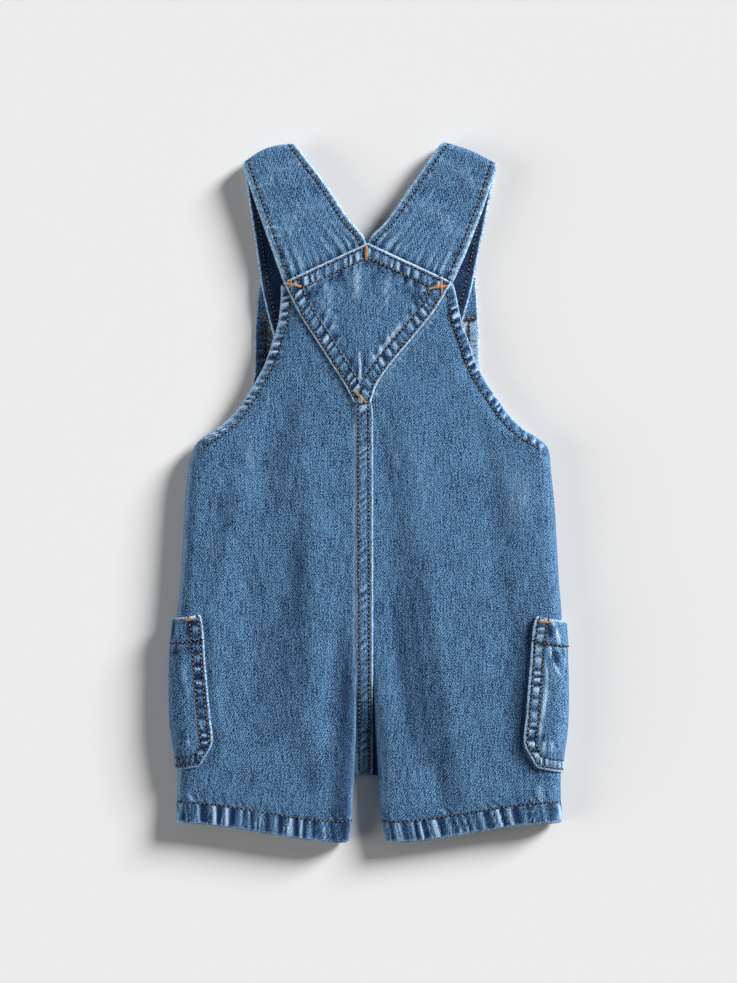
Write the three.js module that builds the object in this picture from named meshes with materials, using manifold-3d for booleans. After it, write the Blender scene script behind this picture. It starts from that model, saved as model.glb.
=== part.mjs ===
// A baby's denim shortalls, laid flat on their front with the back uppermost.
// Units are millimetres. X runs to the right and Y towards the shoulders, seen from above. Z is up.
// The origin lies on the surface under the garment, at the middle of its length and width.
import * as THREE from 'three';
import Module from 'manifold-3d';

const wasm = await Module();
wasm.setup();

// Cloth and clearances
const DENIM = 1.2;
const SEAM_GAP = 0.3;
const ARMHOLE_HEM = { width: 6.5, step: 0.6, extra: 0.8, start: 28, full: 46, ends: 121, gone: 131 };
const SEAM_STRIP = { top: 60, raise: 0.9, fade: 30 };

// Overall form
const LEG_BOTTOM = -250;
const LEG_BOTTOM_LIFT = 14;
const LEG_INNER = 14;
const LEG_OUTER = 137;
const HEM_DEPTH = 14.6;
const CROTCH = -203;
const CENTRE_SEAM = 3.2;

// Half-sections: how far a fold reaches in from the edge, and at most what share of the panel it takes
const SIDE_FOLD = { reach: 11, share: 0.3 };
const ARMHOLE_FOLD = { reach: 20, share: 0.6 };
const INNER_FOLD_SIZE = { reach: 9, share: 0.2 };
const UNDER_YOKE_FOLD = { reach: 3, share: 0.2 };
const FRONT_FOLD_REACH = 10;
const FOLD_CELLS = 3;
const ROUND = 0.5;
const STRAIGHT = 1;

// Seams where the back and front layers meet. Below the level limit the cloth's edge faces sideways
const SIDE_SEAM_HEIGHT = 6.2;
const SIDE_SEAM_TOP = 31;
const LEVEL_LIMIT = 40;
const INSEAM_HEIGHT = 5.6;
const INSEAM_RISE = 22;
const LEG_TURN = 10;
const CROTCH_HEIGHT = 2.85;
const NOTCH_START = -85;

// The back layer: height of its right side above the floor, by length
const LOFT = [
  { y: 180, z: 13.6 },
  { y: 130, z: 14.2 },
  { y: 60, z: 15.4 },
  { y: -30, z: 16.4 },
  { y: -120, z: 16.8 },
  { y: -200, z: 15.6 },
  { y: -250, z: 14.0 },
];

// Where the back layer ends to the left and right: the armhole above, the side seam below
const BACK_EDGE = [
  { y: 152, left: -62.0, right: 60.0 },
  { y: 137, left: -62.0, right: 63.3 },
  { y: 121, left: -63.6, right: 66.5 },
  { y: 108, left: -67.5, right: 71.3 },
  { y: 90, left: -73.8, right: 77.6 },
  { y: 78, left: -80.3, right: 84.0 },
  { y: 65, left: -88.4, right: 92.8 },
  { y: 54, left: -96.8, right: 100.8 },
  { y: 44, left: -108.7, right: 111.0 },
  { y: 37, left: -119.4, right: 122.4 },
  { y: 31, left: -124.3, right: 128.8 },
  { y: 15, left: -128.6, right: 131.0 },
  { y: -13, left: -131.1, right: 133.8 },
  { y: -60, left: -133.8, right: 136.5 },
  { y: -88, left: -136.4, right: 138.6 },
  { y: -120, left: -138.8, right: 140.0 },
  { y: -160, left: -138.9, right: 140.2 },
  { y: -195, left: -136.3, right: 138.1 },
  { y: -250, left: -137.2, right: 138.2 },
];

// Height of the back layer's right side at that edge
const BACK_EDGE_HEIGHT = [
  { y: 150, z: 12.6 },
  { y: 108, z: 11.0 },
  { y: 65, z: 9.4 },
  { y: 42, z: 7.4 },
  { y: 30, z: SIDE_SEAM_HEIGHT },
  { y: -250, z: SIDE_SEAM_HEIGHT },
];

// Where the bib ends to the left and right, down to the underarm
const BIB_EDGE = [
  { y: 155, left: -75.6, right: 76.6 },
  { y: 134, left: -79.2, right: 78.2 },
  { y: 108, left: -80.0, right: 78.8 },
  { y: 84, left: -80.4, right: 80.2 },
  { y: 70, left: -84.6, right: 88.4 },
  { y: 58, left: -92.4, right: 96.8 },
  { y: 47, left: -104.0, right: 106.4 },
  { y: 38, left: -117.6, right: 120.2 },
  { y: 31, left: -124.3, right: 128.8 },
];

// The inner end of each back panel: under the yoke above, along the centre seam below
const BACK_INNER = [
  { y: 140, left: -45.5, right: 42.6 },
  { y: 127, left: -39.4, right: 35.0 },
  { y: 112, left: -29.8, right: 22.6 },
  { y: 98, left: -20.8, right: 9.8 },
  { y: 91, left: -16.2, right: 3.8 },
  { y: 80, left: -9.2, right: CENTRE_SEAM + SEAM_GAP },
  { y: 66, left: 1.2, right: CENTRE_SEAM + SEAM_GAP },
  { y: SEAM_STRIP.top, left: 2.7, right: CENTRE_SEAM + SEAM_GAP },
  { y: 50, left: CENTRE_SEAM, right: CENTRE_SEAM + SEAM_GAP },
  { y: -250, left: CENTRE_SEAM, right: CENTRE_SEAM + SEAM_GAP },
];

// Where each leg folds over beside the centre seam, and below it along the inseam
const INNER_FOLD = [
  { y: 60, left: -8.2, right: 4.2 },
  { y: -142, left: -8.6, right: 4.5 },
  { y: -180, left: -9.0, right: 6.0 },
  { y: CROTCH, left: -9.8, right: 7.2 },
  { y: -221, left: -10.9, right: 7.6 },
  { y: -238, left: -12.4, right: 10.6 },
  { y: LEG_BOTTOM, left: -14.2, right: 13.6 },
];

// Soft folds of the back layer: rise is positive on a ridge and negative in a trough
const FOLDS = [
  {
    rise: 2.0,
    width: 10,
    line: [{ y: 60, x: -76 }, { y: -6, x: -92 }, { y: -45, x: -104 }, { y: -170, x: -114 }],
  },
  {
    rise: -2.0,
    width: 12,
    line: [{ y: 50, x: -64 }, { y: -6, x: -69 }, { y: -49, x: -76 }, { y: -178, x: -79 }],
  },
  {
    rise: 1.8,
    width: 13,
    line: [{ y: 40, x: -49 }, { y: -35, x: -37 }, { y: -142, x: -40 }, { y: -200, x: -38 }],
  },
  {
    rise: -2.4,
    width: 6,
    line: [{ y: -95, x: -20 }, { y: -163, x: -25 }, { y: -245, x: -25 }],
  },
  {
    rise: -2.6,
    width: 10,
    line: [{ y: 45, x: 12 }, { y: -27, x: 19 }, { y: -135, x: 26 }, { y: -232, x: 54 }],
  },
  {
    rise: 2.0,
    width: 14,
    line: [{ y: 50, x: 30 }, { y: -27, x: 41 }, { y: -135, x: 53 }, { y: -232, x: 80 }],
  },
  {
    rise: -1.8,
    width: 9,
    line: [{ y: 45, x: 80 }, { y: -6, x: 87 }, { y: -56, x: 92 }, { y: -170, x: 103 }],
  },
  {
    rise: 1.4,
    width: 12,
    line: [{ y: 20, x: 108 }, { y: -60, x: 114 }],
  },
];
const FOLD_FADE = 25;

// The pockets straddle the side folds. drop runs down from the top edge, left and right are the inner edge
const POCKET = { cloth: 1.5, hem: 18.5, hemStep: 1.5, hemExtra: 0.6, height: 107, foldShare: 0.9 };
const POCKET_PUFF = { rise: 1.7, topShare: 0.75, fullFrom: 40, fullTo: 75, cells: 2.4 };
const POCKET_BED = { above: 20, top: 8, bottom: 110, below: 122, inner: 108, ramp: 14 };
const POCKET_ROWS = [0, 9, POCKET.hem, POCKET.hem + POCKET.hemStep, 35, 50, 65, 80, 92, 99.5, POCKET.height];
const POCKET_CELLS = { flat: 3, round: 4 };
const POCKETS = {
  left: { top: -91.2, shear: 0.17 },
  right: { top: -93.2, shear: 0.22 },
};
const POCKET_EDGE = [
  { drop: 0, left: -119.6, right: 120.4 },
  { drop: 8, left: -118.2, right: 118.4 },
  { drop: 40, left: -115.8, right: 115.6 },
  { drop: 70, left: -112.9, right: 113.2 },
  { drop: 92, left: -110.9, right: 111.2 },
  { drop: 100, left: -115.4, right: 115.6 },
  { drop: POCKET.height, left: -120.4, right: 120.6 },
];

// The yoke: a triangle with a gabled top edge over the straps and its point on the centre seam
const YOKE = { shoulder: 149, point: 63, peak: 176.7, gable: 1.4, lap: DENIM + SEAM_GAP, puff: 1.2 };
const YOKE_CELLS = { rows: 9, columns: 12 };
const YOKE_EDGE = [
  { y: 149, left: -60.6, right: 59.4 },
  { y: 126, left: -49.6, right: 45.0 },
  { y: 108, left: -38.0, right: 30.2 },
  { y: 90, left: -26.6, right: 15.2 },
  { y: 76, left: -17.6, right: 5.8 },
  { y: 63, left: -9.6, right: 1.6 },
];

// The straps, doubled cloth: the plan places of both edges at a share t of each part's length,
// from the yoke to the shoulder fold and from there down inside the bib
const STRAP = { cloth: 2.4, tuck: 2.4, foldHeight: 11, foldBase: 0.8, bibHeight: 3.1 };
const STRAP_LIFT = { tuckEnd: 0.04, bulgeStart: 0.6, bulgeEnd: 0.4, bibStart: 0.05, bibEnd: 0.5 };
const STRAP_CELLS = { across: 5, back: 8, turn: 6, front: 11 };
const STRAP_FIRST_ROWS = [0, STRAP_LIFT.tuckEnd, 0.08];
const STRAP_NEXT_ROW = 0.16;
const STRAP_SEAM_Y = 150;
const STRAP_BULGE = { left: 3.6, right: 1.6 };
const STRAP_BACK = {
  left: [
    { t: 0, outerX: -59.6, outerY: 149.2, innerX: -2.2, innerY: 177.0 },
    { t: 0.08, outerX: -61.6, outerY: 155.2, innerX: -4.4, innerY: 182.6 },
    { t: 0.3, outerX: -67.6, outerY: 172.6, innerX: -14.4, innerY: 194.4 },
    { t: 0.65, outerX: -77.8, outerY: 201.4, innerX: -29.0, innerY: 216.6 },
    { t: 1, outerX: -87.8, outerY: 230.6, innerX: -49.8, innerY: 244.2 },
  ],
  right: [
    { t: 0, outerX: 60.0, outerY: 148.8, innerX: 0.8, innerY: 177.0 },
    { t: 0.08, outerX: 62.2, outerY: 154.4, innerX: 3.6, innerY: 182.6 },
    { t: 0.3, outerX: 68.8, outerY: 169.6, innerX: 12.8, innerY: 191.4 },
    { t: 0.65, outerX: 80.2, outerY: 199.0, innerX: 31.0, innerY: 217.2 },
    { t: 1, outerX: 90.6, outerY: 229.4, innerX: 50.6, innerY: 245.6 },
  ],
};
const STRAP_FRONT = {
  left: [
    { t: 0, outerX: -87.8, outerY: 230.6, innerX: -49.8, innerY: 244.2 },
    { t: 0.35, outerX: -81.4, outerY: 188.4, innerX: -43.2, innerY: 197.8 },
    { t: 0.7, outerX: -74.2, outerY: 142.6, innerX: -36.4, innerY: 152.0 },
    { t: 1, outerX: -65.0, outerY: 104.4, innerX: -27.8, innerY: 113.6 },
  ],
  right: [
    { t: 0, outerX: 90.6, outerY: 229.4, innerX: 50.6, innerY: 245.6 },
    { t: 0.35, outerX: 82.0, outerY: 187.0, innerX: 44.2, innerY: 198.0 },
    { t: 0.7, outerX: 73.0, outerY: 144.8, innerX: 35.8, innerY: 155.0 },
    { t: 1, outerX: 62.2, outerY: 106.0, innerX: 25.8, innerY: 116.0 },
  ],
};

// The bib and the band of cloth that faces the inside of its top
const BIB = { top: 155, cornerTop: 150, cornerBottom: 128, hemmedBelow: 110, edgeFrom: 62, edgeTo: 32 };
const FACING = { top: 154.6, bottom: 123, cloth: 1.0, clearance: 0.4, inset: 0.6, columns: 20 };
const FACING_ROWS = [FACING.top, 149, 143, 137, 130, FACING.bottom];

// Rows of points along the panels, by length, and how many cells they have in the rest
const BACK_TOP_ROWS = [140, 131, 121, 110, 99, 88, 78, 69, 60, 51, 43, 37, SIDE_SEAM_TOP, 23, 11];
const BACK_LEG_START = -3;
const BACK_CELLS = { across: 10, leg: 15, inseam: 3 };
const FRONT_TOP_ROWS = [118, 107, 95, 84, 72, 60, 50, 42, 36, SIDE_SEAM_TOP];
const FRONT_WAIST = { from: 18, to: -70 };
const FRONT_SEAT = { from: -88, to: -196 };
const FRONT_CELLS = { across: 7, corner: 4, waist: 4, seat: 6, inseam: 3 };

// Buttons on the straps, through the bib: their heads are on its outside, which is underneath
const BUTTON = { radius: 8.5, height: 2.2, shank: 2.0, hole: 2.5, flat: 10, slope: 20, sides: 18 };
const BUTTON_RIM = { bevel: 1, low: 0.7, high: 1.5 };
const HOLE = { reach: 20, sides: 12 };
const BUTTONS = {
  left: { x: -54.5, y: 139 },
  right: { x: 53.5, y: 139 },
};
const BUTTON_LIFT = BUTTON.height + SEAM_GAP;

// The leg hems, and how the rows of points lean towards the armhole and the slanted leg bottoms
const HEM = { cloth: 2.0, proud: 0.5, pucker: 0.45, puckers: 17, lean: 0.9, endCells: 3 };
const HEM_CELLS = { back: 40, front: 8, rows: 2 };
const HEM_SLANT_START = -120;
const SLEEVE = { slope: 0.6, start: 100, full: 140, inner: 50 };

const MATERIALS = {
  denim: new THREE.MeshStandardMaterial({ color: 0x4a74a4, roughness: 0.9, metalness: 0 }),
  faded: new THREE.MeshStandardMaterial({ color: 0x5c86b4, roughness: 0.9, metalness: 0 }),
  inside: new THREE.MeshStandardMaterial({ color: 0x2f4d75, roughness: 0.9, metalness: 0 }),
  brass: new THREE.MeshStandardMaterial({ color: 0xa8814d, roughness: 0.4, metalness: 1 }),
};

const clamp01 = (v) => Math.min(1, Math.max(0, v));
const mix = (a, b, k) => a + (b - a) * k;

/** A smooth step from 0 at a to 1 at b. */
function smooth(a, b, v) {
  const k = clamp01((v - a) / (b - a));
  return k * k * (3 - 2 * k);
}

/** A value of a table's column at a key, on a smooth curve through the rows. */
function along(table, key, column, at) {
  const rising = table[0][key] < table[table.length - 1][key];
  const rows = rising ? table : [...table].reverse();
  const last = rows.length - 1;
  if (at <= rows[0][key]) return rows[0][column];
  if (at >= rows[last][key]) return rows[last][column];
  let i = 0;
  while (rows[i + 1][key] < at) i += 1;
  const slope = (k) => {
    const a = Math.max(0, k - 1);
    const b = Math.min(last, k + 1);
    return (rows[b][column] - rows[a][column]) / (rows[b][key] - rows[a][key]);
  };
  const span = rows[i + 1][key] - rows[i][key];
  const k = (at - rows[i][key]) / span;
  const h = k * k * (3 - 2 * k);
  const bulge = k * (1 - k) * span;
  const ends = rows[i][column] * (1 - h) + rows[i + 1][column] * h;
  return ends + bulge * (slope(i) * (1 - k) - slope(i + 1) * k);
}

/** Evenly spaced numbers from a to b, both included. */
function steps(a, b, count) {
  return Array.from({ length: count + 1 }, (_, i) => mix(a, b, i / count));
}

/** How far the leg bottoms rise from the inseam to the side. */
function bottomLift(x) {
  return LEG_BOTTOM_LIFT * smooth(LEG_INNER, LEG_OUTER, Math.abs(x));
}

/** The height that the soft folds add to the back layer. */
function folds(x, y) {
  return FOLDS.reduce((sum, fold) => {
    const top = fold.line[0].y;
    const bottom = fold.line[fold.line.length - 1].y;
    const begins = smooth(top + FOLD_FADE, top - FOLD_FADE, y);
    const ends = smooth(bottom - FOLD_FADE, bottom + FOLD_FADE, y);
    const away = (x - along(fold.line, 'y', 'x', y)) / fold.width;
    return sum + fold.rise * begins * ends * Math.exp(-away * away);
  }, 0);
}

/** How far a fold reaches into a panel of some width. */
function foldReach(size, width) {
  return Math.min(size.reach, width * size.share);
}

/** Share of the full height at a distance in from a folded edge, by the fold's power. */
function fold(distance, reach, power) {
  const k = clamp01(distance / reach);
  return Math.max(0, 1 - (1 - k) * (1 - k)) ** power;
}

/** The shape numbers of one side's back panel at a height along the garment. */
function backSection(side, y) {
  const outer = along(BACK_EDGE, 'y', side, y);
  const inner = along(BACK_INNER, 'y', side, y);
  const width = Math.abs(outer - inner);
  const nearCentre = along(INNER_FOLD, 'y', side, Math.min(y, SEAM_STRIP.top));
  const sign = side === 'left' ? -1 : 1;
  const yoked = inner + sign * foldReach(UNDER_YOKE_FOLD, width);
  const foldX = y > SEAM_STRIP.top ? yoked : nearCentre;
  const armhole = smooth(ARMHOLE_HEM.start, ARMHOLE_HEM.full, y);
  const sideSize = {
    reach: mix(SIDE_FOLD.reach, ARMHOLE_FOLD.reach, armhole),
    share: mix(SIDE_FOLD.share, ARMHOLE_FOLD.share, armhole),
  };
  const sideReach = foldReach(sideSize, width);
  return { sign, outer, inner, foldX, sideReach, innerReach: foldReach(INNER_FOLD_SIZE, width) };
}

/** The power of the fold at the side: round at the side seam, straight at the armhole. */
function sidePower(y) {
  return mix(ROUND, STRAIGHT, smooth(ARMHOLE_HEM.start, ARMHOLE_HEM.full, y));
}

/** How deep the hollow between the legs is, from 0 above it to 1 at the crotch and below. */
function notch(y) {
  return smooth(NOTCH_START, CROTCH, y);
}

/** Height of the inseam, from the crotch down. */
function inseamHeight(y) {
  return mix(CROTCH_HEIGHT, INSEAM_HEIGHT, smooth(CROTCH, CROTCH - INSEAM_RISE, y));
}

/** Height of the inner end of the back layer: the centre seam, then the inseam. */
function backInnerHeight(y, loft) {
  const seam = mix(loft, CROTCH_HEIGHT, notch(y));
  return y > CROTCH ? seam : inseamHeight(y);
}

/** Height of the right side of the back layer. */
function backHeight(side, x, y) {
  const section = backSection(side, y);
  const loft = along(LOFT, 'y', 'z', y);
  const full = loft + folds(x, y);
  const edge = along(BACK_EDGE_HEIGHT, 'y', 'z', y);
  const power = sidePower(y);
  const fromSide = fold(section.sign * (section.outer - x), section.sideReach, power);
  const fromInner = fold(section.sign * (x - section.foldX), section.innerReach, ROUND);
  const base = backInnerHeight(y, loft);
  const crowned = mix(edge, full, fromSide);
  return mix(base, crowned, mix(1, fromInner, y > SEAM_STRIP.top ? 0 : notch(y)));
}

/** How much a pocket or a button lifts the front layer off the floor. */
function frontLift(side, x, y) {
  const drop = POCKETS[side].top - y;
  const below = smooth(-POCKET_BED.above, -POCKET_BED.top, drop);
  const above = smooth(POCKET_BED.below, POCKET_BED.bottom, drop);
  const across = smooth(POCKET_BED.inner - POCKET_BED.ramp, POCKET_BED.inner, Math.abs(x));
  const button = BUTTONS[side];
  const away = Math.hypot(x - button.x, y - button.y);
  const underButton = smooth(BUTTON.flat + BUTTON.slope, BUTTON.flat, away);
  return (POCKET.cloth + SEAM_GAP) * below * above * across + BUTTON_LIFT * underButton;
}

/** The outer end of the front layer: the bib's armhole edge, then the side seam. */
function frontOuter(side, y) {
  return y > SIDE_SEAM_TOP ? along(BIB_EDGE, 'y', side, y) : along(BACK_EDGE, 'y', side, y);
}

/** Height of the right side of the front layer, which is its underside here. */
function frontHeight(side, x, y) {
  const sign = side === 'left' ? -1 : 1;
  const lift = frontLift(side, x, y);
  const edge = (SIDE_SEAM_HEIGHT - SEAM_GAP) * smooth(BIB.edgeFrom, BIB.edgeTo, y);
  const power = sidePower(y);
  const fromSide = fold(sign * (frontOuter(side, y) - x), FRONT_FOLD_REACH, power);
  const legged = smooth(CROTCH, CROTCH - LEG_TURN, y);
  const fromInner = fold(sign * (x - along(INNER_FOLD, 'y', side, y)), INNER_FOLD_SIZE.reach, ROUND);
  return mix(mix(edge, lift, fromSide), inseamHeight(y) - SEAM_GAP, legged * (1 - fromInner));
}

/**
 * A closed solid between a grid of outer points and the same grid moved in by the cloth's thickness.
 * Where level says so, as along a seam at the side, the cloth's thickness runs level.
 */
function cloth(grid, thickness, facing, present = () => true, level = () => false) {
  const rows = grid.length;
  const columns = grid[0].length;
  const at = (i, j) => grid[Math.min(rows - 1, Math.max(0, i))][Math.min(columns - 1, Math.max(0, j))];
  const solid = (i, j) => i >= 0 && j >= 0 && i < rows - 1 && j < columns - 1 && present(i, j);
  const normal = (i, j) => {
    const acrossWay = new THREE.Vector3().subVectors(at(i, j + 1), at(i, j - 1));
    const alongWay = new THREE.Vector3().subVectors(at(i + 1, j), at(i - 1, j));
    const way = acrossWay.cross(alongWay);
    if (level(i, j)) way.z = 0;
    if (j === 0 && !level(i, j)) way.x = 0;
    return way.normalize().multiplyScalar(facing);
  };
  const positions = [];
  const seen = new Map();
  const vertex = (i, j, inside) => {
    const name = `${i},${j},${inside}`;
    if (!seen.has(name)) {
      const p = at(i, j).clone();
      if (inside) p.addScaledVector(normal(i, j), -thickness(i, j));
      seen.set(name, positions.length / 3);
      positions.push(p.x, p.y, p.z);
    }
    return seen.get(name);
  };
  const index = [];
  const quad = (a, b, c, d) => {
    const corners = facing > 0 ? [a, b, c, a, c, d] : [a, c, b, a, d, c];
    index.push(...corners);
  };
  for (let i = 0; i < rows - 1; i += 1) {
    for (let j = 0; j < columns - 1; j += 1) {
      if (!solid(i, j)) continue;
      const ring = [[i, j], [i, j + 1], [i + 1, j + 1], [i + 1, j]];
      const outside = ring.map(([r, c]) => vertex(r, c, false));
      const inside = ring.map(([r, c]) => vertex(r, c, true));
      quad(...outside);
      quad(...[...inside].reverse());
      const neighbours = [solid(i - 1, j), solid(i, j + 1), solid(i + 1, j), solid(i, j - 1)];
      neighbours.forEach((joined, k) => {
        const next = (k + 1) % 4;
        if (!joined) quad(outside[next], outside[k], inside[k], inside[next]);
      });
    }
  }
  const geometry = new THREE.BufferGeometry();
  geometry.setAttribute('position', new THREE.Float32BufferAttribute(positions, 3));
  geometry.setIndex(index);
  return geometry;
}

const garment = new THREE.Group();

/** Adds one named piece of the garment. */
function addPiece(name, geometry, material) {
  geometry.computeVertexNormals();
  const mesh = new THREE.Mesh(geometry, material);
  mesh.name = name;
  garment.add(mesh);
}

/** A solid with a round hole cut straight down through it. */
function cutHole(geometry, x, y) {
  const asManifold = (shape) => new wasm.Manifold(new wasm.Mesh({
    numProp: 3,
    vertProperties: new Float32Array(shape.attributes.position.array),
    triVerts: new Uint32Array(shape.index.array),
  }));
  const profile = [[0, -HOLE.reach], [BUTTON.hole, -HOLE.reach], [BUTTON.hole, HOLE.reach], [0, HOLE.reach]];
  const drill = new THREE.LatheGeometry(profile.map(([r, z]) => new THREE.Vector2(r, z)), HOLE.sides);
  drill.rotateX(Math.PI / 2);
  drill.translate(x, y, 0);
  const cut = asManifold(geometry).subtract(asManifold(closedLathe(drill))).getMesh();
  const result = new THREE.BufferGeometry();
  result.setAttribute('position', new THREE.BufferAttribute(new Float32Array(cut.vertProperties), 3));
  result.setIndex(new THREE.BufferAttribute(new Uint32Array(cut.triVerts), 1));
  return result;
}

/** The lathe's vertices merged by place, and its empty triangles on the axis left out. */
function closedLathe(lathe) {
  const source = lathe.attributes.position;
  const seen = new Map();
  const positions = [];
  const place = Array.from({ length: source.count }, (_, i) => {
    const p = [source.getX(i), source.getY(i), source.getZ(i)];
    const name = p.map((v) => Math.round(v * 1e4)).join();
    if (!seen.has(name)) {
      seen.set(name, positions.length / 3);
      positions.push(...p);
    }
    return seen.get(name);
  });
  const index = [];
  for (let i = 0; i < lathe.index.count; i += 3) {
    const [a, b, c] = [0, 1, 2].map((k) => place[lathe.index.getX(i + k)]);
    if (a !== b && b !== c && a !== c) index.push(a, b, c);
  }
  const merged = new THREE.BufferGeometry();
  merged.setAttribute('position', new THREE.Float32BufferAttribute(positions, 3));
  merged.setIndex(index);
  return merged;
}

/** How far the columns lie in from the side: round its fold, or along the hem of the armhole. */
function sideColumns(reach, y) {
  const round = steps(Math.PI / 2, 0, FOLD_CELLS).map((a) => reach * (1 - Math.cos(a)));
  const stepped = ARMHOLE_HEM.width + ARMHOLE_HEM.step;
  const hem = [Math.max(reach, stepped + ARMHOLE_HEM.step), stepped, ARMHOLE_HEM.width, 0];
  const armhole = smooth(ARMHOLE_HEM.start, ARMHOLE_HEM.full, y);
  return round.map((distance, k) => mix(distance, hem[k], armhole));
}

/** Plan positions across one row: seam, inner fold, open cloth and side fold. */
function acrossRow(sign, seam, foldX, innerReach, outer, sides, plain) {
  const turns = steps(0, Math.PI / 2, FOLD_CELLS);
  const innerFold = turns.map((a) => foldX + sign * innerReach * (1 - Math.cos(a)));
  const sideFold = sides.map((distance) => outer - sign * distance);
  const open = steps(innerFold[FOLD_CELLS], sideFold[0], plain).slice(1, -1);
  return [seam, ...innerFold, ...open, ...sideFold];
}

/** The same for the back layer. */
function acrossBack(side, y, plain) {
  const { sign, outer, inner, foldX, sideReach, innerReach } = backSection(side, y);
  return acrossRow(sign, inner, foldX, innerReach, outer, sideColumns(sideReach, y), plain);
}

/** The same for the front layer. */
function acrossFront(side, y, plain) {
  const sign = side === 'left' ? -1 : 1;
  const foldX = along(INNER_FOLD, 'y', side, y);
  const outer = frontOuter(side, y);
  const sides = sideColumns(FRONT_FOLD_REACH, y);
  return acrossRow(sign, sign * SEAM_GAP / 2, foldX, INNER_FOLD_SIZE.reach, outer, sides, plain);
}

/** How far a row rises at x: towards the armhole at the top, and along the slanted leg bottom. */
function rowRise(r, x, sleeve) {
  const leg = clamp01((HEM_SLANT_START - r) / (HEM_SLANT_START - LEG_BOTTOM)) * bottomLift(x);
  return sleeve * smooth(SLEEVE.start, SLEEVE.full, r) * (Math.abs(x) - SLEEVE.inner) + leg;
}

/** One row of points of a layer: across gives its plan positions, height its right side. */
function layerRow(r, sleeve, across, height) {
  return across(r).map((start, j) => {
    const y = r + rowRise(r, start, sleeve);
    const x = across(y)[j];
    return new THREE.Vector3(x, y, height(x, y, j));
  });
}

/** Which edges of a panel have a level thickness: its side seam, and the inseam below the web row. */
function seamLevels(rows, last) {
  const web = rows.indexOf(CROTCH);
  return (i, j) => (j === last && rows[i] < LEVEL_LIMIT) || (j === 1 && i > web);
}

/** One back panel, from the yoke to the leg hem. */
function backPanel(side) {
  const hemTop = LEG_BOTTOM + HEM_DEPTH + SEAM_GAP;
  const rows = [
    ...BACK_TOP_ROWS,
    ...steps(BACK_LEG_START, CROTCH, BACK_CELLS.leg),
    ...steps(CROTCH, hemTop, BACK_CELLS.inseam).slice(1),
  ];
  const web = rows.indexOf(CROTCH);
  const across = (y) => acrossBack(side, y, BACK_CELLS.across);
  const last = across(0).length - 1;
  const onStrip = (r, j) => side === 'left' && j <= 1 && r < SEAM_STRIP.top;
  const stripFade = (r) => smooth(CROTCH, CROTCH + SEAM_STRIP.fade, r);
  const strip = (r, j) => (onStrip(r, j) ? SEAM_STRIP.raise * stripFade(r) : 0);
  const hemEnds = (r) => smooth(ARMHOLE_HEM.gone, ARMHOLE_HEM.ends, r);
  const hemmed = (r) => smooth(ARMHOLE_HEM.start, ARMHOLE_HEM.full, r) * hemEnds(r);
  const hem = (r, j) => (j >= last - 1 ? ARMHOLE_HEM.extra * hemmed(r) : 0);
  const raise = (r, j) => strip(r, j) + hem(r, j);
  const grid = rows.map((r) => {
    const height = (x, y, j) => backHeight(side, x, y) + raise(r, j);
    return layerRow(r, SLEEVE.slope, across, height);
  });
  const thick = (i, j) => DENIM + raise(rows[i], j);
  const facing = side === 'left' ? 1 : -1;
  return cloth(grid, thick, facing, (i, j) => j > 0 || i < web, seamLevels(rows, last));
}

/** One front panel with its half of the bib, from the bib's top to the leg hem. */
function frontPanel(side) {
  const hemTop = LEG_BOTTOM + HEM_DEPTH + SEAM_GAP;
  const rows = [
    BIB.top,
    ...steps(BIB.cornerTop, BIB.cornerBottom, FRONT_CELLS.corner),
    ...FRONT_TOP_ROWS,
    ...steps(FRONT_WAIST.from, FRONT_WAIST.to, FRONT_CELLS.waist),
    ...steps(FRONT_SEAT.from, FRONT_SEAT.to, FRONT_CELLS.seat),
    ...steps(CROTCH, hemTop, FRONT_CELLS.inseam),
  ];
  const web = rows.indexOf(CROTCH);
  const across = (y) => acrossFront(side, y, FRONT_CELLS.across);
  const grid = rows.map((r) => layerRow(r, 0, across, (x, y) => frontHeight(side, x, y)));
  const last = grid[0].length - 1;
  const hemmed = (i, j) => rows[i] > LEVEL_LIMIT && rows[i] < BIB.hemmedBelow && j >= last - 1;
  const thick = (i, j) => DENIM + (hemmed(i, j) ? ARMHOLE_HEM.extra : 0);
  const facing = side === 'left' ? -1 : 1;
  const panel = cloth(grid, thick, facing, (i, j) => j > 0 || i < web, seamLevels(rows, last));
  return cutHole(panel, BUTTONS[side].x, BUTTONS[side].y);
}

/** The turned-up hem of one leg, its upper half on the back or its lower half on the front. */
function legHem(side, half) {
  const isBack = half === 'back';
  const plain = HEM_CELLS[half];
  const across = (y) => (isBack ? acrossBack(side, y, plain) : acrossFront(side, y, plain)).slice(1);
  const rows = steps(LEG_BOTTOM + HEM_DEPTH, LEG_BOTTOM, HEM_CELLS.rows);
  const grid = rows.map((r, i) => {
    const last = across(r).length - 1;
    return layerRow(r, 0, across, (x, y, j) => {
      const ends = smooth(0, HEM.endCells, j) * smooth(0, HEM.endCells, last - j);
      const wave = Math.sin(2 * Math.PI * HEM.puckers * j / last + i * HEM.lean);
      const onBack = backHeight(side, x, y) + (HEM.proud + (i > 0 ? HEM.pucker * wave : 0)) * ends;
      const onFront = Math.max(frontHeight(side, x, y), HEM.proud) - HEM.proud * ends;
      return isBack ? onBack : onFront;
    });
  });
  const last = grid[0].length - 1;
  const facing = isBack === (side === 'left') ? 1 : -1;
  return cloth(grid, () => HEM.cloth, facing, () => true, (i, j) => j === 0 || j === last);
}

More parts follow.
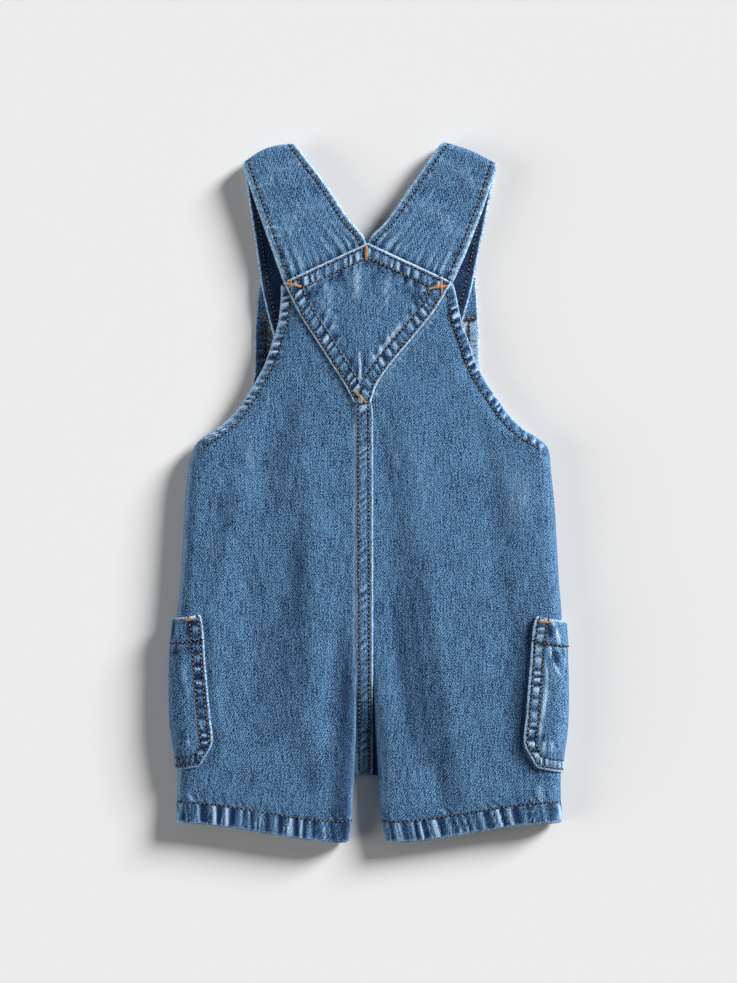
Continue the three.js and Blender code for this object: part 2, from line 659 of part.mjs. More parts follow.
/** The yoke, lapped over the back panels and the strap ends. */
function yoke() {
  const rows = steps(YOKE.shoulder, YOKE.point, YOKE_CELLS.rows);
  const columns = steps(0, 1, YOKE_CELLS.columns);
  const grid = rows.map((r, i) => columns.map((c) => {
    const down = i / (rows.length - 1);
    const x = mix(along(YOKE_EDGE, 'y', 'left', r), along(YOKE_EDGE, 'y', 'right', r), c);
    const gable = (YOKE.peak - YOKE.shoulder) * (1 - down) ** YOKE.gable;
    const y = r + gable * (1 - Math.abs(2 * c - 1));
    const puff = YOKE.puff * Math.sin(Math.PI * c) ** 2 * Math.sin(Math.PI * down);
    return new THREE.Vector3(x, y, backHeight(x < 0 ? 'left' : 'right', x, y) + YOKE.lap + puff);
  }));
  return cloth(grid, () => DENIM, -1);
}

/** Both plan edges of a strap part at a share of its length. */
function strapRow(table, t) {
  const value = (column) => along(table, 't', column, t);
  return {
    outer: new THREE.Vector2(value('outerX'), value('outerY')),
    inner: new THREE.Vector2(value('innerX'), value('innerY')),
  };
}

/** The strap's first row, drawn back under the yoke. */
function tuckedRow(table) {
  const base = strapRow(table, 0);
  const next = strapRow(table, STRAP_LIFT.tuckEnd);
  const tuck = (edge) => {
    const way = next[edge].clone().sub(base[edge]).normalize();
    return base[edge].clone().addScaledVector(way, -STRAP.tuck);
  };
  return { outer: tuck('outer'), inner: tuck('inner') };
}

/** One strap: out from under the yoke, over the shoulder fold and down inside the bib. */
function strap(side) {
  const across = steps(0, 1, STRAP_CELLS.across);
  const foldTop = STRAP.foldBase + STRAP.foldHeight;
  const radius = STRAP.foldHeight / 2;
  const shoulder = strapRow(STRAP_BACK[side], 1);
  const way = shoulder.inner.clone().sub(shoulder.outer).normalize();
  const out = new THREE.Vector2(-way.y, way.x).multiplyScalar(Math.sign(way.x));
  const place = (row, c, reach, bulged) => {
    const bulge = bulged * STRAP_BULGE[side] * Math.sin(Math.PI * c);
    return row.outer.clone().lerp(row.inner, c).addScaledVector(out, reach + bulge);
  };

  const shares = [...STRAP_FIRST_ROWS, ...steps(STRAP_NEXT_ROW, 1, STRAP_CELLS.back)];
  const onBack = shares.map((t) => ({ t, ...strapRow(STRAP_BACK[side], t) }));
  const grid = [{ t: 0, ...tuckedRow(STRAP_BACK[side]) }, ...onBack].map((row) => across.map((c) => {
    const { x, y } = place(row, c, 0, smooth(STRAP_LIFT.bulgeStart, 1, row.t));
    const start = backHeight(side, x, mix(y, STRAP_SEAM_Y, row.t));
    return new THREE.Vector3(x, y, mix(start, foldTop, smooth(STRAP_LIFT.tuckEnd, 1, row.t)));
  }));
  for (const turn of steps(0, Math.PI, STRAP_CELLS.turn).slice(1, -1)) {
    grid.push(across.map((c) => {
      const { x, y } = place(shoulder, c, radius * Math.sin(turn), 1);
      return new THREE.Vector3(x, y, STRAP.foldBase + radius * (1 + Math.cos(turn)));
    }));
  }
  for (const t of steps(0, 1, STRAP_CELLS.front)) {
    const row = strapRow(STRAP_FRONT[side], t);
    const level = mix(STRAP.foldBase, STRAP.bibHeight, smooth(STRAP_LIFT.bibStart, STRAP_LIFT.bibEnd, t));
    grid.push(across.map((c) => {
      const { x, y } = place(row, c, 0, smooth(STRAP_LIFT.bulgeEnd, 0, t));
      return new THREE.Vector3(x, y, level + frontLift(side, x, y));
    }));
  }
  return cloth(grid, () => STRAP.cloth, side === 'left' ? 1 : -1);
}

/** The band of cloth that faces the inside of the bib's top. */
function bibFacing() {
  const grid = FACING_ROWS.map((y) => steps(0, 1, FACING.columns).map((c) => {
    const x = mix(frontOuter('left', y) + FACING.inset, frontOuter('right', y) - FACING.inset, c);
    const side = x < 0 ? 'left' : 'right';
    const z = frontHeight(side, x, y) + DENIM + FACING.clearance + FACING.cloth;
    return new THREE.Vector3(x, y, z);
  }));
  const band = cloth(grid, () => FACING.cloth, -1);
  return cutHole(cutHole(band, BUTTONS.left.x, BUTTONS.left.y), BUTTONS.right.x, BUTTONS.right.y);
}

/** A row of points of the leg under a pocket: over the back, round the side and over the front. */
function underPocket(side, drop) {
  const sign = side === 'left' ? -1 : 1;
  const { top, shear } = POCKETS[side];
  const edge = (y) => along(BACK_EDGE, 'y', side, y);
  const level = top - drop;
  const deep = Math.abs(edge(level) - along(POCKET_EDGE, 'drop', side, drop));
  const reach = Math.min(deep * POCKET.foldShare, SIDE_FOLD.reach);
  const round = steps(Math.PI / 2, 0, POCKET_CELLS.round).map((a) => reach * (1 - Math.cos(a)));
  const flat = steps(deep, round[0], POCKET_CELLS.flat).slice(0, -1);
  const depths = [...flat, ...round];
  const point = (d, height) => {
    const y = level + shear * d;
    const x = edge(y) - sign * d;
    return new THREE.Vector3(x, y, height(side, x, y));
  };
  const onBack = depths.map((d) => point(d, backHeight));
  const onFront = depths.slice(0, -1).reverse().map((d) => point(d, frontHeight));
  return [...onBack, ...onFront];
}

/** One patch pocket, wrapped round the side of the leg over the back and the front. */
function pocket(side) {
  const body = POCKET_ROWS.map((drop) => underPocket(side, drop));
  const rows = body.length - 1;
  const columns = body[0].length - 1;
  const middle = columns / 2;
  const facing = side === 'left' ? 1 : -1;
  const hemmed = (i, j) => POCKET_ROWS[i] <= POCKET.hem && j <= middle;
  const thickness = (i, j) => POCKET.cloth + (hemmed(i, j) ? POCKET.hemExtra : 0);
  const at = (i, j) => body[Math.min(rows, Math.max(0, i))][Math.min(columns, Math.max(0, j))];
  const grid = body.map((row, i) => row.map((under, j) => {
    const acrossWay = new THREE.Vector3().subVectors(at(i, j + 1), at(i, j - 1));
    const alongWay = new THREE.Vector3().subVectors(at(i + 1, j), at(i - 1, j));
    const normal = acrossWay.cross(alongWay).normalize().multiplyScalar(facing);
    const upper = mix(POCKET_PUFF.topShare, 1, smooth(0, POCKET_PUFF.fullFrom, POCKET_ROWS[i]));
    const lower = smooth(POCKET.height, POCKET_PUFF.fullTo, POCKET_ROWS[i]);
    const crown = Math.exp(-(((j - middle) / POCKET_PUFF.cells) ** 2));
    const out = SEAM_GAP + thickness(i, j) + POCKET_PUFF.rise * upper * lower * crown;
    const point = under.clone().addScaledVector(normal, out);
    point.z = Math.max(0, point.z);
    return point;
  }));
  return cloth(grid, thickness, facing);
}

/** A shank button: its head under the bib and its shank up through it to the strap. */
function button(side) {
  const { x, y } = BUTTONS[side];
  const top = STRAP.bibHeight + BUTTON_LIFT - SEAM_GAP;
  const profile = [
    [0, 0],
    [BUTTON.radius - BUTTON_RIM.bevel, 0],
    [BUTTON.radius, BUTTON_RIM.low],
    [BUTTON.radius, BUTTON_RIM.high],
    [BUTTON.radius - BUTTON_RIM.bevel, BUTTON.height],
    [BUTTON.shank, BUTTON.height],
    [BUTTON.shank, top],
    [0, top],
  ];
  const lathe = new THREE.LatheGeometry(profile.map(([r, z]) => new THREE.Vector2(r, z)), BUTTON.sides);
  lathe.rotateX(Math.PI / 2);
  lathe.translate(x, y, 0);
  return closedLathe(lathe);
}

for (const side of ['left', 'right']) {
  addPiece(`back_${side}`, backPanel(side), MATERIALS.denim);
  addPiece(`front_${side}`, frontPanel(side), MATERIALS.denim);
  addPiece(`hem_back_${side}`, legHem(side, 'back'), MATERIALS.faded);
  addPiece(`hem_front_${side}`, legHem(side, 'front'), MATERIALS.faded);
  addPiece(`strap_${side}`, strap(side), MATERIALS.faded);
  addPiece(`pocket_${side}`, pocket(side), MATERIALS.denim);
  addPiece(`button_${side}`, button(side), MATERIALS.brass);
}
addPiece('yoke', yoke(), MATERIALS.denim);
addPiece('bib_facing', bibFacing(), MATERIALS.inside);

export default garment;
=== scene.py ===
"""Dresses the shortalls in washed denim with sewn seams, in the frame of their solids.

Sizes are in millimetres until a mesh is made. X runs to the right and Y towards the shoulders.
"""

import logging
import math
from dataclasses import dataclass, field
from enum import Enum

import bpy
import numpy as np
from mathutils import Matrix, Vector
from mathutils.bvhtree import BVHTree

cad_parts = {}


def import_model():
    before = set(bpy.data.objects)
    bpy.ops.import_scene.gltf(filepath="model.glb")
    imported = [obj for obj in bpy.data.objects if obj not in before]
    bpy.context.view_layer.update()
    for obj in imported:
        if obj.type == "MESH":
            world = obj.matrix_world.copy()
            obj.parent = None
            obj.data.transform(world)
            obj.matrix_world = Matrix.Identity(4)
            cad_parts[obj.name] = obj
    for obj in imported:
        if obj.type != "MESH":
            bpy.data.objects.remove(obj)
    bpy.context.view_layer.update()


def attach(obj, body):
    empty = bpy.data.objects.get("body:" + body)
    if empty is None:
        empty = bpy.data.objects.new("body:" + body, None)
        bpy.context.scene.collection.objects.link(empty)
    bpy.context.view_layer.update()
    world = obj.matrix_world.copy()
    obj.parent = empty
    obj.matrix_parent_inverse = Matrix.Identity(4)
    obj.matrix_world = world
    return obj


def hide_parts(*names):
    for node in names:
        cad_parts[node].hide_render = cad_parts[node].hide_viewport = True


LOG = logging.getLogger("shortalls")
MM = 0.001
UV_SCALE = MM * 10
TINY = 1e-9
Array = np.ndarray


class Side(Enum):
    """The left or the right of the garment, seen from above."""

    LEFT = "left"
    RIGHT = "right"

    @property
    def sign(self) -> int:
        """The sign of X on this side."""
        return -1 if self is Side.LEFT else 1


class Table:
    """Rows of numbers in named columns, read on a smooth curve through the first column."""

    def __init__(self, columns: str, *rows: tuple[float, ...]) -> None:
        """Sorts the rows.

        Args:
            columns: the names of the columns, the key first.
            rows: one tuple of numbers per row.
        """
        ordered = np.array(sorted(rows), float)
        self.keys = ordered[:, 0]
        self.values = dict(zip(columns.split(), ordered.T))

    def at(self, column: str, key: Array | float) -> Array:
        """Reads a column.

        Args:
            column: the name of the column.
            key: where to read it; past the ends it keeps the end's value.

        Returns:
            The values there.
        """
        keys, values = self.keys, self.values[column]
        count = len(keys)
        before = np.maximum(np.arange(count) - 1, 0)
        after = np.minimum(np.arange(count) + 1, count - 1)
        slopes = (values[after] - values[before]) / (keys[after] - keys[before])
        where = np.clip(key, keys[0], keys[-1])
        i = np.clip(np.searchsorted(keys, where, side="right") - 1, 0, count - 2)
        span = keys[i + 1] - keys[i]
        share = (where - keys[i]) / span
        ease = share * share * (3 - 2 * share)
        ends = values[i] * (1 - ease) + values[i + 1] * ease
        return ends + share * (1 - share) * span * (slopes[i] * (1 - share) - slopes[i + 1] * share)


def mix(a: Array | float, b: Array | float, share: Array | float) -> Array:
    """A value between a and b."""
    return a + (b - a) * share


def smooth(a: float, b: float, value: Array | float) -> Array:
    """A soft step from 0 at a to 1 at b."""
    share = np.clip((value - a) / (b - a), 0, 1)
    return share * share * (3 - 2 * share)


def bell(distance: Array, width: float) -> Array:
    """A soft hump, 1 in its middle."""
    return np.exp(-((distance / width) ** 2))


def unit(vector: Array) -> Array:
    """The direction of a vector."""
    return vector / max(float(np.linalg.norm(vector)), TINY)


def travel(points: Array) -> Array:
    """How far each point is from the start of its row, along the row."""
    steps = np.linalg.norm(np.diff(points, axis=-2), axis=-1)
    return np.concatenate([np.zeros((*steps.shape[:-1], 1)), np.cumsum(steps, axis=-1)], axis=-1)


@dataclass(frozen=True)
class Cut:
    """Sizes that the whole garment shares."""

    denim: float = 1.2
    gap: float = 0.3
    leg_bottom: float = -250.0
    leg_lift: float = 14.0
    leg_inner: float = 14.0
    leg_outer: float = 137.0
    hem: float = 14.6
    hem_cloth: float = 2.0
    hem_proud: float = 0.5
    slant_start: float = -120.0
    crotch: float = -203.0
    notch_start: float = -85.0
    inseam_ease: float = 22.0
    centre: float = 3.2
    strip_raise: float = 0.9
    side_fold: float = 11.0
    front_fold: float = 10.0
    inner_fold: float = 9.0
    side_seam: float = 6.2
    inseam: float = 5.6
    crotch_height: float = 2.85
    armhole_reach: float = 20.0
    armhole_hem: float = 6.5
    armhole_step: float = 0.6
    armhole_raise: float = 0.8
    armhole_start: float = 28.0
    armhole_full: float = 46.0
    underarm: float = 31.0
    waist: float = 60.0
    waist_blend: float = 18.0
    arm_fold: float = 3.0
    narrow_fold: float = 0.2
    narrow_side: float = 0.3
    narrow_armhole: float = 0.6
    seam_top: float = 62.0
    seam_full: float = 32.0
    inseam_start: float = 10.0
    fold_fade: float = 25.0
    fold_share: float = 0.6
    pocket_lift: float = 1.8
    pocket_inner: float = 108.0
    pocket_side: float = 14.0
    pocket_above: float = 8.0
    pocket_below: float = 110.0
    pocket_ramp: float = 12.0
    button_lift: float = 2.5
    button_flat: float = 10.0
    button_slope: float = 20.0


CUT = Cut()

LOFT = Table(
    "y z",
    (180, 13.6), (130, 14.2), (60, 15.4), (-30, 16.4), (-120, 16.8), (-200, 15.6), (-250, 14.0),
)
BACK_EDGE = Table(
    "y left right",
    (152, -62.0, 60.0), (137, -62.0, 63.3), (121, -63.6, 66.5), (108, -67.5, 71.3), (90, -73.8, 77.6),
    (78, -80.3, 84.0), (65, -88.4, 92.8), (54, -96.8, 100.8), (44, -108.7, 111.0), (37, -119.4, 122.4),
    (31, -124.3, 128.8), (15, -128.6, 131.0), (-13, -131.1, 133.8), (-60, -133.8, 136.5),
    (-88, -136.4, 138.6), (-120, -138.8, 140.0), (-160, -138.9, 140.2), (-195, -136.3, 138.1),
    (-250, -137.2, 138.2),
)
BACK_EDGE_HEIGHT = Table("y z", (150, 12.6), (108, 11.0), (65, 9.4), (42, 7.4), (30, 6.2), (-250, 6.2))
BIB_EDGE = Table(
    "y left right",
    (155, -75.6, 76.6), (134, -79.2, 78.2), (108, -80.0, 78.8), (84, -80.4, 80.2), (70, -84.6, 88.4),
    (58, -92.4, 96.8), (47, -104.0, 106.4), (38, -117.6, 120.2), (31, -124.3, 128.8),
)
BACK_INNER = Table(
    "y left right",
    (140, -45.5, 42.6), (127, -39.4, 35.0), (112, -29.8, 22.6), (98, -20.8, 9.8), (91, -16.2, 3.8),
    (80, -9.2, 3.5), (66, 1.2, 3.5), (60, 2.7, 3.5), (50, 3.2, 3.5), (-250, 3.2, 3.5),
)
INNER_FOLD = Table(
    "y left right",
    (60, -8.2, 4.2), (-142, -8.6, 4.5), (-180, -9.0, 6.0), (-203, -9.8, 7.2), (-221, -10.9, 7.6),
    (-238, -12.4, 10.6), (-250, -14.2, 13.6),
)
YOKE_EDGE = Table(
    "y left right",
    (149, -59.6, 59.4), (126, -48.0, 45.0), (108, -36.4, 30.2), (90, -25.0, 15.2), (76, -16.0, 5.8),
    (63, -9.2, 1.6),
)


@dataclass(frozen=True)
class SoftFold:
    """A long soft fold of the back: a ridge where rise is positive, a trough where it is negative."""

    rise: float
    width: float
    line: Table

    def height(self, x: Array, y: Array) -> Array:
        """How far the fold lifts the cloth at x and y.

        Args:
            x: plan positions.
            y: plan positions.

        Returns:
            The lift.
        """
        low, high = self.line.keys[0], self.line.keys[-1]
        fade = CUT.fold_fade
        ends = smooth(high + fade, high - fade, y) * smooth(low - fade, low + fade, y)
        return CUT.fold_share * self.rise * ends * bell(x - self.line.at("x", y), self.width)


LARGE_FOLDS = (
    SoftFold(2.0, 10, Table("y x", (60, -76), (-6, -92), (-45, -104), (-170, -114))),
    SoftFold(-2.0, 12, Table("y x", (50, -64), (-6, -69), (-49, -76), (-178, -79))),
    SoftFold(1.8, 13, Table("y x", (40, -49), (-35, -37), (-142, -40), (-200, -38))),
    SoftFold(-2.4, 6, Table("y x", (-95, -20), (-163, -25), (-245, -25))),
    SoftFold(-2.6, 10, Table("y x", (45, 12), (-27, 19), (-135, 26), (-232, 54))),
    SoftFold(2.0, 14, Table("y x", (50, 30), (-27, 41), (-135, 53), (-232, 80))),
    SoftFold(-1.8, 9, Table("y x", (45, 80), (-6, 87), (-56, 92), (-170, 103))),
    SoftFold(1.4, 12, Table("y x", (20, 108), (-60, 114))),
)


class Layers:
    """The heights of the garment's back and front layers, as its solids have them."""

    @staticmethod
    def round_fold(distance: Array, reach: Array | float, power: Array | float) -> Array:
        """The share of the full height at a distance in from a fold.

        Args:
            distance: how far in from the fold.
            reach: where the full height is reached.
            power: 0.5 for a round fold, 1 for a soft slope.

        Returns:
            A share from 0 to 1.
        """
        share = np.clip(distance / reach, 0, 1)
        return np.maximum(0, 1 - (1 - share) ** 2) ** power

    @staticmethod
    def bottom_lift(x: Array) -> Array:
        """How far the leg bottoms rise from the inseam to the side."""
        return CUT.leg_lift * smooth(CUT.leg_inner, CUT.leg_outer, np.abs(x))

    @staticmethod
    def back_section(side: Side, y: Array) -> dict[str, Array]:
        """The plan of one row of a back panel.

        Args:
            side: left or right.
            y: the rows.

        Returns:
            The outer and inner ends, the fold beside the centre and how far both folds reach.
        """
        outer = BACK_EDGE.at(side.value, y)
        inner = BACK_INNER.at(side.value, y)
        width = np.abs(outer - inner)
        armhole = smooth(CUT.armhole_start, CUT.armhole_full, y)
        below = INNER_FOLD.at(side.value, np.minimum(y, CUT.waist))
        above = inner + side.sign * np.minimum(CUT.arm_fold, width * CUT.narrow_fold)
        side_reach = mix(CUT.side_fold, CUT.armhole_reach, armhole)
        narrow = mix(CUT.narrow_side, CUT.narrow_armhole, armhole)
        return {
            "outer": outer,
            "inner": inner,
            "fold": mix(below, above, smooth(CUT.waist, CUT.waist + CUT.waist_blend, y)),
            "side_reach": np.minimum(side_reach, width * narrow),
            "inner_reach": np.minimum(CUT.inner_fold, width * CUT.narrow_fold),
        }

    @staticmethod
    def side_insets(y: Array, reach: Array, turn: Array) -> Array:
        """How far in from the side the last columns lie, round the fold or stepped at a hem.

        Args:
            y: the rows.
            reach: how far in the fold begins, for each row.
            turn: the columns, from 0 where the fold begins to 3 at the edge.

        Returns:
            Rows by columns.
        """
        round_way = reach[:, None] * (1 - np.cos(math.pi / 2 * (1 - turn / 3)))[None, :]
        stepped = CUT.armhole_hem + CUT.armhole_step
        far = np.maximum(reach, stepped + CUT.armhole_step)
        hem_way = np.stack([np.interp(turn, [0, 1, 2, 3], [f, stepped, CUT.armhole_hem, 0]) for f in far])
        return mix(round_way, hem_way, smooth(CUT.armhole_start, CUT.armhole_full, y)[:, None])

    @classmethod
    def back(cls, side: Side, x: Array, y: Array) -> Array:
        """The height of the back's right side.

        Args:
            side: left or right.
            x: plan positions.
            y: plan positions.

        Returns:
            The heights.
        """
        section = cls.back_section(side, y)
        loft = LOFT.at("z", y)
        full = loft + sum(soft.height(x, y) for soft in LARGE_FOLDS)
        power = mix(0.5, 1, smooth(CUT.armhole_start, CUT.armhole_full, y))
        from_side = cls.round_fold(side.sign * (section["outer"] - x), section["side_reach"], power)
        from_inner = cls.round_fold(side.sign * (x - section["fold"]), section["inner_reach"], 0.5)
        notch = smooth(CUT.notch_start, CUT.crotch, y)
        inseam = mix(CUT.crotch_height, CUT.inseam, smooth(CUT.crotch, CUT.crotch - CUT.inseam_ease, y))
        base = np.where(y > CUT.crotch, mix(loft, CUT.crotch_height, notch), inseam)
        crowned = mix(BACK_EDGE_HEIGHT.at("z", y), full, from_side)
        return mix(base, crowned, mix(1, from_inner, np.where(y > CUT.waist, 0, notch)))

    @staticmethod
    def front_lift(side: Side, x: Array, y: Array) -> Array:
        """How far a pocket or a button lifts the front off the surface.

        Args:
            side: left or right.
            x: plan positions.
            y: plan positions.

        Returns:
            The lift.
        """
        drop = POCKETS[side].top - y
        near_pocket = smooth(-CUT.pocket_above - CUT.pocket_ramp, -CUT.pocket_above, drop)
        near_pocket = near_pocket * smooth(CUT.pocket_below + CUT.pocket_ramp, CUT.pocket_below, drop)
        across = smooth(CUT.pocket_inner - CUT.pocket_side, CUT.pocket_inner, np.abs(x))
        button_x, button_y = BUTTON_PLACES[side]
        away = np.hypot(x - button_x, y - button_y)
        under_button = smooth(CUT.button_flat + CUT.button_slope, CUT.button_flat, away)
        return CUT.pocket_lift * near_pocket * across + CUT.button_lift * under_button

    @staticmethod
    def front_outer(side: Side, y: Array) -> Array:
        """Where the front layer ends at the side."""
        return np.where(y > CUT.underarm, BIB_EDGE.at(side.value, y), BACK_EDGE.at(side.value, y))

    @classmethod
    def front(cls, side: Side, x: Array, y: Array) -> Array:
        """The height of the front's right side, which faces down.

        Args:
            side: left or right.
            x: plan positions.
            y: plan positions.

        Returns:
            The heights.
        """
        edge = (CUT.side_seam - CUT.gap) * smooth(CUT.seam_top, CUT.seam_full, y)
        power = mix(0.5, 1, smooth(CUT.armhole_start, CUT.armhole_full, y))
        from_side = cls.round_fold(side.sign * (cls.front_outer(side, y) - x), CUT.front_fold, power)
        legs = smooth(CUT.crotch, CUT.crotch - CUT.inseam_ease, y)
        inseam = mix(CUT.crotch_height, CUT.inseam, legs) - CUT.gap
        legged = smooth(CUT.crotch, CUT.crotch - CUT.inseam_start, y)
        fold = INNER_FOLD.at(side.value, y)
        from_inner = cls.round_fold(side.sign * (x - fold), CUT.inner_fold, 0.5)
        body = mix(edge, cls.front_lift(side, x, y), from_side)
        return mix(body, inseam, legged * (1 - from_inner))


@dataclass(frozen=True)
class PocketCut:
    """Where a pocket's top edge lies, how its rows slant, where its bar tack is, and how pale its worn and
    highlighted edges, its face and the band between its rows are.
    """

    top: float
    shear: float
    tack: tuple[tuple[float, float], tuple[float, float]]
    edge_wear_and_highlight: float
    wear_and_shading: float
    seam_wear: float


POCKETS = {
    Side.LEFT: PocketCut(-91.2, 0.17, ((-129.8, -91.2), (-123.6, -90.5)), 0.75, -0.04, -0.22),
    Side.RIGHT: PocketCut(-93.2, 0.22, ((129.4, -92.8), (121.6, -92.4)), 1.1, 0.14, 0.28),
}
BUTTON_PLACES = {Side.LEFT: (-54.5, 139.0), Side.RIGHT: (53.5, 139.0)}


@dataclass
class Relief:
    """What sewing, wear and painted light and shade add to a cloth: its height, and its tone from -1 dark to
    1 pale.
    """

    height: Array
    # Real wear pales ridges and edges; painted shade darkens valleys, grooves and gaps; painted light pales
    # some bands and edges.
    wear_and_shading: Array

    def add(self, height: Array | float, wear_and_shading: Array | float) -> None:
        """Adds more height, and more wear and painted shading."""
        self.height = self.height + height
        self.wear_and_shading = self.wear_and_shading + wear_and_shading


def locate(line: Array, x: Array, y: Array) -> tuple[Array, Array]:
    """Finds points beside a line in plan.

    Args:
        line: the line's points, one row each.
        x: plan positions.
        y: plan positions.

    Returns:
        How far along the line each point is, and how far to its left, or its right where negative.
    """
    best = np.full(x.shape, np.inf)
    along = np.zeros(x.shape)
    away = np.zeros(x.shape)
    start = 0.0
    for (ax, ay), (bx, by) in zip(line[:-1], line[1:]):
        length = math.hypot(bx - ax, by - ay)
        dx, dy = (bx - ax) / length, (by - ay) / length
        run = np.clip((x - ax) * dx + (y - ay) * dy, 0, length)
        gap_x, gap_y = x - ax - run * dx, y - ay - run * dy
        distance = np.hypot(gap_x, gap_y)
        nearer = distance < best
        best = np.where(nearer, distance, best)
        along = np.where(nearer, start + run, along)
        away = np.where(nearer, distance * np.sign(dx * gap_y - dy * gap_x), away)
        start += length
    return along, away


def uneven_wave(run: Array, spacing: float, seed: float) -> Array:
    """A leaning wave whose spacing and height change along it, as sewn cloth puckers.

    Args:
        run: how far along it.
        spacing: its mean spacing.
        seed: what makes it differ from others.

    Returns:
        The wave, from -1 to 1.
    """
    turn = 2 * math.pi * run / spacing
    turn = turn + 1.2 * np.sin(turn / 4.7 + seed) + 0.8 * np.sin(turn / 2.3 + 2 * seed)
    return np.sin(turn + 0.6 * np.sin(turn)) * (0.7 + 0.3 * np.sin(turn / 6.1 + 3 * seed))


def mottle(x: Array, y: Array, spacing: float, seed: float) -> Array:
    """Soft irregular patches over a cloth, from -1 to 1."""
    slanting = uneven_wave(x + 0.35 * y, spacing, seed) * uneven_wave(y - 0.45 * x, 1.3 * spacing, 2.3 * seed)
    return 0.6 * slanting + 0.4 * uneven_wave(x - 0.8 * y, 0.6 * spacing, seed + 1)


@dataclass(frozen=True)
class Ripples:
    """The puckers that a seam draws into a band of cloth, from start to end beside its line."""

    start: float
    end: float
    spacing: float
    rise: float = 0.35
    wear_and_shading: float = 0.9
    lean: float = 0.0
    soft: float = 1.0
    seed: float = 0.0

    def press(self, relief: Relief, run: Array, depth: Array) -> None:
        """Adds the puckers.

        Args:
            relief: what is added to.
            run: how far along the seam each point is.
            depth: how far beside it.
        """
        wave = uneven_wave(run + self.lean * depth, self.spacing, self.seed)
        opened = smooth(self.start - self.soft, self.start + self.soft, depth)
        inside = opened * smooth(self.end + self.soft, self.end - self.soft, depth)
        # Crests pale, worn and painted light; troughs darken with painted shade.
        relief.add(self.rise * wave * inside, self.wear_and_shading * np.where(wave > 0, wave * wave, wave) * inside)


@dataclass(frozen=True)
class Seam:
    """A row of stitches in its groove, which is darkened with painted shade, and the puckers beside it."""

    line: Array
    ripples: tuple[Ripples, ...] = ()
    groove: float = 0.3
    both: bool = False

    def press(self, relief: Relief, x: Array, y: Array) -> None:
        """Adds the row's groove and puckers.

        Args:
            relief: what is added to.
            x: the cloth's flat coordinates.
            y: the cloth's flat coordinates.
        """
        run, away = locate(self.line, x, y)
        groove = bell(away, 1.0)
        # The groove darkens with painted shade.
        relief.add(-self.groove * groove, -1.4 * self.groove * groove)
        for ripple in self.ripples:
            ripple.press(relief, run, np.abs(away) if self.both else away)


@dataclass(frozen=True)
class Mark:
    """A straight mark between two points of the flat cloth."""

    start_x: float
    start_y: float
    end_x: float
    end_y: float
    width: float

    def place(self, x: Array, y: Array) -> tuple[Array, Array]:
        """Finds points beside the mark.

        Args:
            x: the cloth's flat coordinates.
            y: the cloth's flat coordinates.

        Returns:
            How far along it each point is, from 0 to 1, and the mark's strength there across it.
        """
        line = np.array([(self.start_x, self.start_y), (self.end_x, self.end_y)], float)
        run, away = locate(line, x, y)
        return run / math.dist(*line), bell(away, self.width)


@dataclass(frozen=True)
class Crease(Mark):
    """A short soft crease, faded at both ends: a ridge pales with wear and painted light, a trough darkens
    with painted shade.
    """

    rise: float
    wear_and_shading: float = 0.1

    def press(self, relief: Relief, x: Array, y: Array) -> None:
        """Adds the crease.

        Args:
            relief: what is added to.
            x: the cloth's flat coordinates.
            y: the cloth's flat coordinates.
        """
        share, across = self.place(x, y)
        shape = across * np.sin(math.pi * np.clip(share, 0.02, 0.98))
        # Paler on a ridge, worn and painted light; darker in a trough, painted shade.
        relief.add(self.rise * shape, self.wear_and_shading * self.rise * shape)


@dataclass(frozen=True)
class Shade(Mark):
    """A broad band with soft ends: painted light where its strength is positive and painted shade where it is
    negative, along the back's soft folds.
    """

    wear_and_shading: float

    def press(self, relief: Relief, x: Array, y: Array) -> None:
        """Adds the band's painted light and shade at the flat coordinates x and y."""
        share, across = self.place(x, y)
        relief.add(0.0, self.wear_and_shading * smooth(0, 0.25, share) * smooth(1, 0.75, share) * across)


def new_piece(
    name: str, vertices: Array, faces: Array, materials: list[bpy.types.Material]
) -> bpy.types.Object:
    """Makes a piece of smooth faces.

    Args:
        name: the piece's name.
        vertices: their places in millimetres.
        faces: the vertices of each face.
        materials: its finishes.

    Returns:
        The new object.
    """
    mesh = bpy.data.meshes.new(name)
    mesh.from_pydata((vertices * MM).tolist(), [], faces.tolist())
    for material in materials:
        mesh.materials.append(material)
    mesh.polygons.foreach_set("use_smooth", np.ones(len(mesh.polygons), bool))
    piece = bpy.data.objects.new(name, mesh)
    bpy.context.collection.objects.link(piece)
    return piece


@dataclass
class Rim:
    """The middle of the rounded edge between the right side and the wrong side of a cloth."""

    outer: Array
    inner: Array
    thick: Array
    bulge: float = 0.42
    # The rounded edge is paler: worn edge and painted highlight.
    wear_and_shading: float = 0.8
    points: list[Array] = field(default_factory=list)
    middle: dict[int, int] = field(default_factory=dict)

    def middle_of(self, vertex: int, outwards: Array) -> int:
        """The rim's point beside a vertex of the edge, made where it is new.

        Args:
            vertex: the vertex.
            outwards: the way out of the cloth there.

        Returns:
            The point's number after all vertices of both sides.
        """
        if vertex not in self.middle:
            self.middle[vertex] = 2 * len(self.outer) + len(self.points)
            centre = (self.outer[vertex] + self.inner[vertex]) / 2
            self.points.append(centre + outwards * self.thick[vertex] * self.bulge)
        return self.middle[vertex]


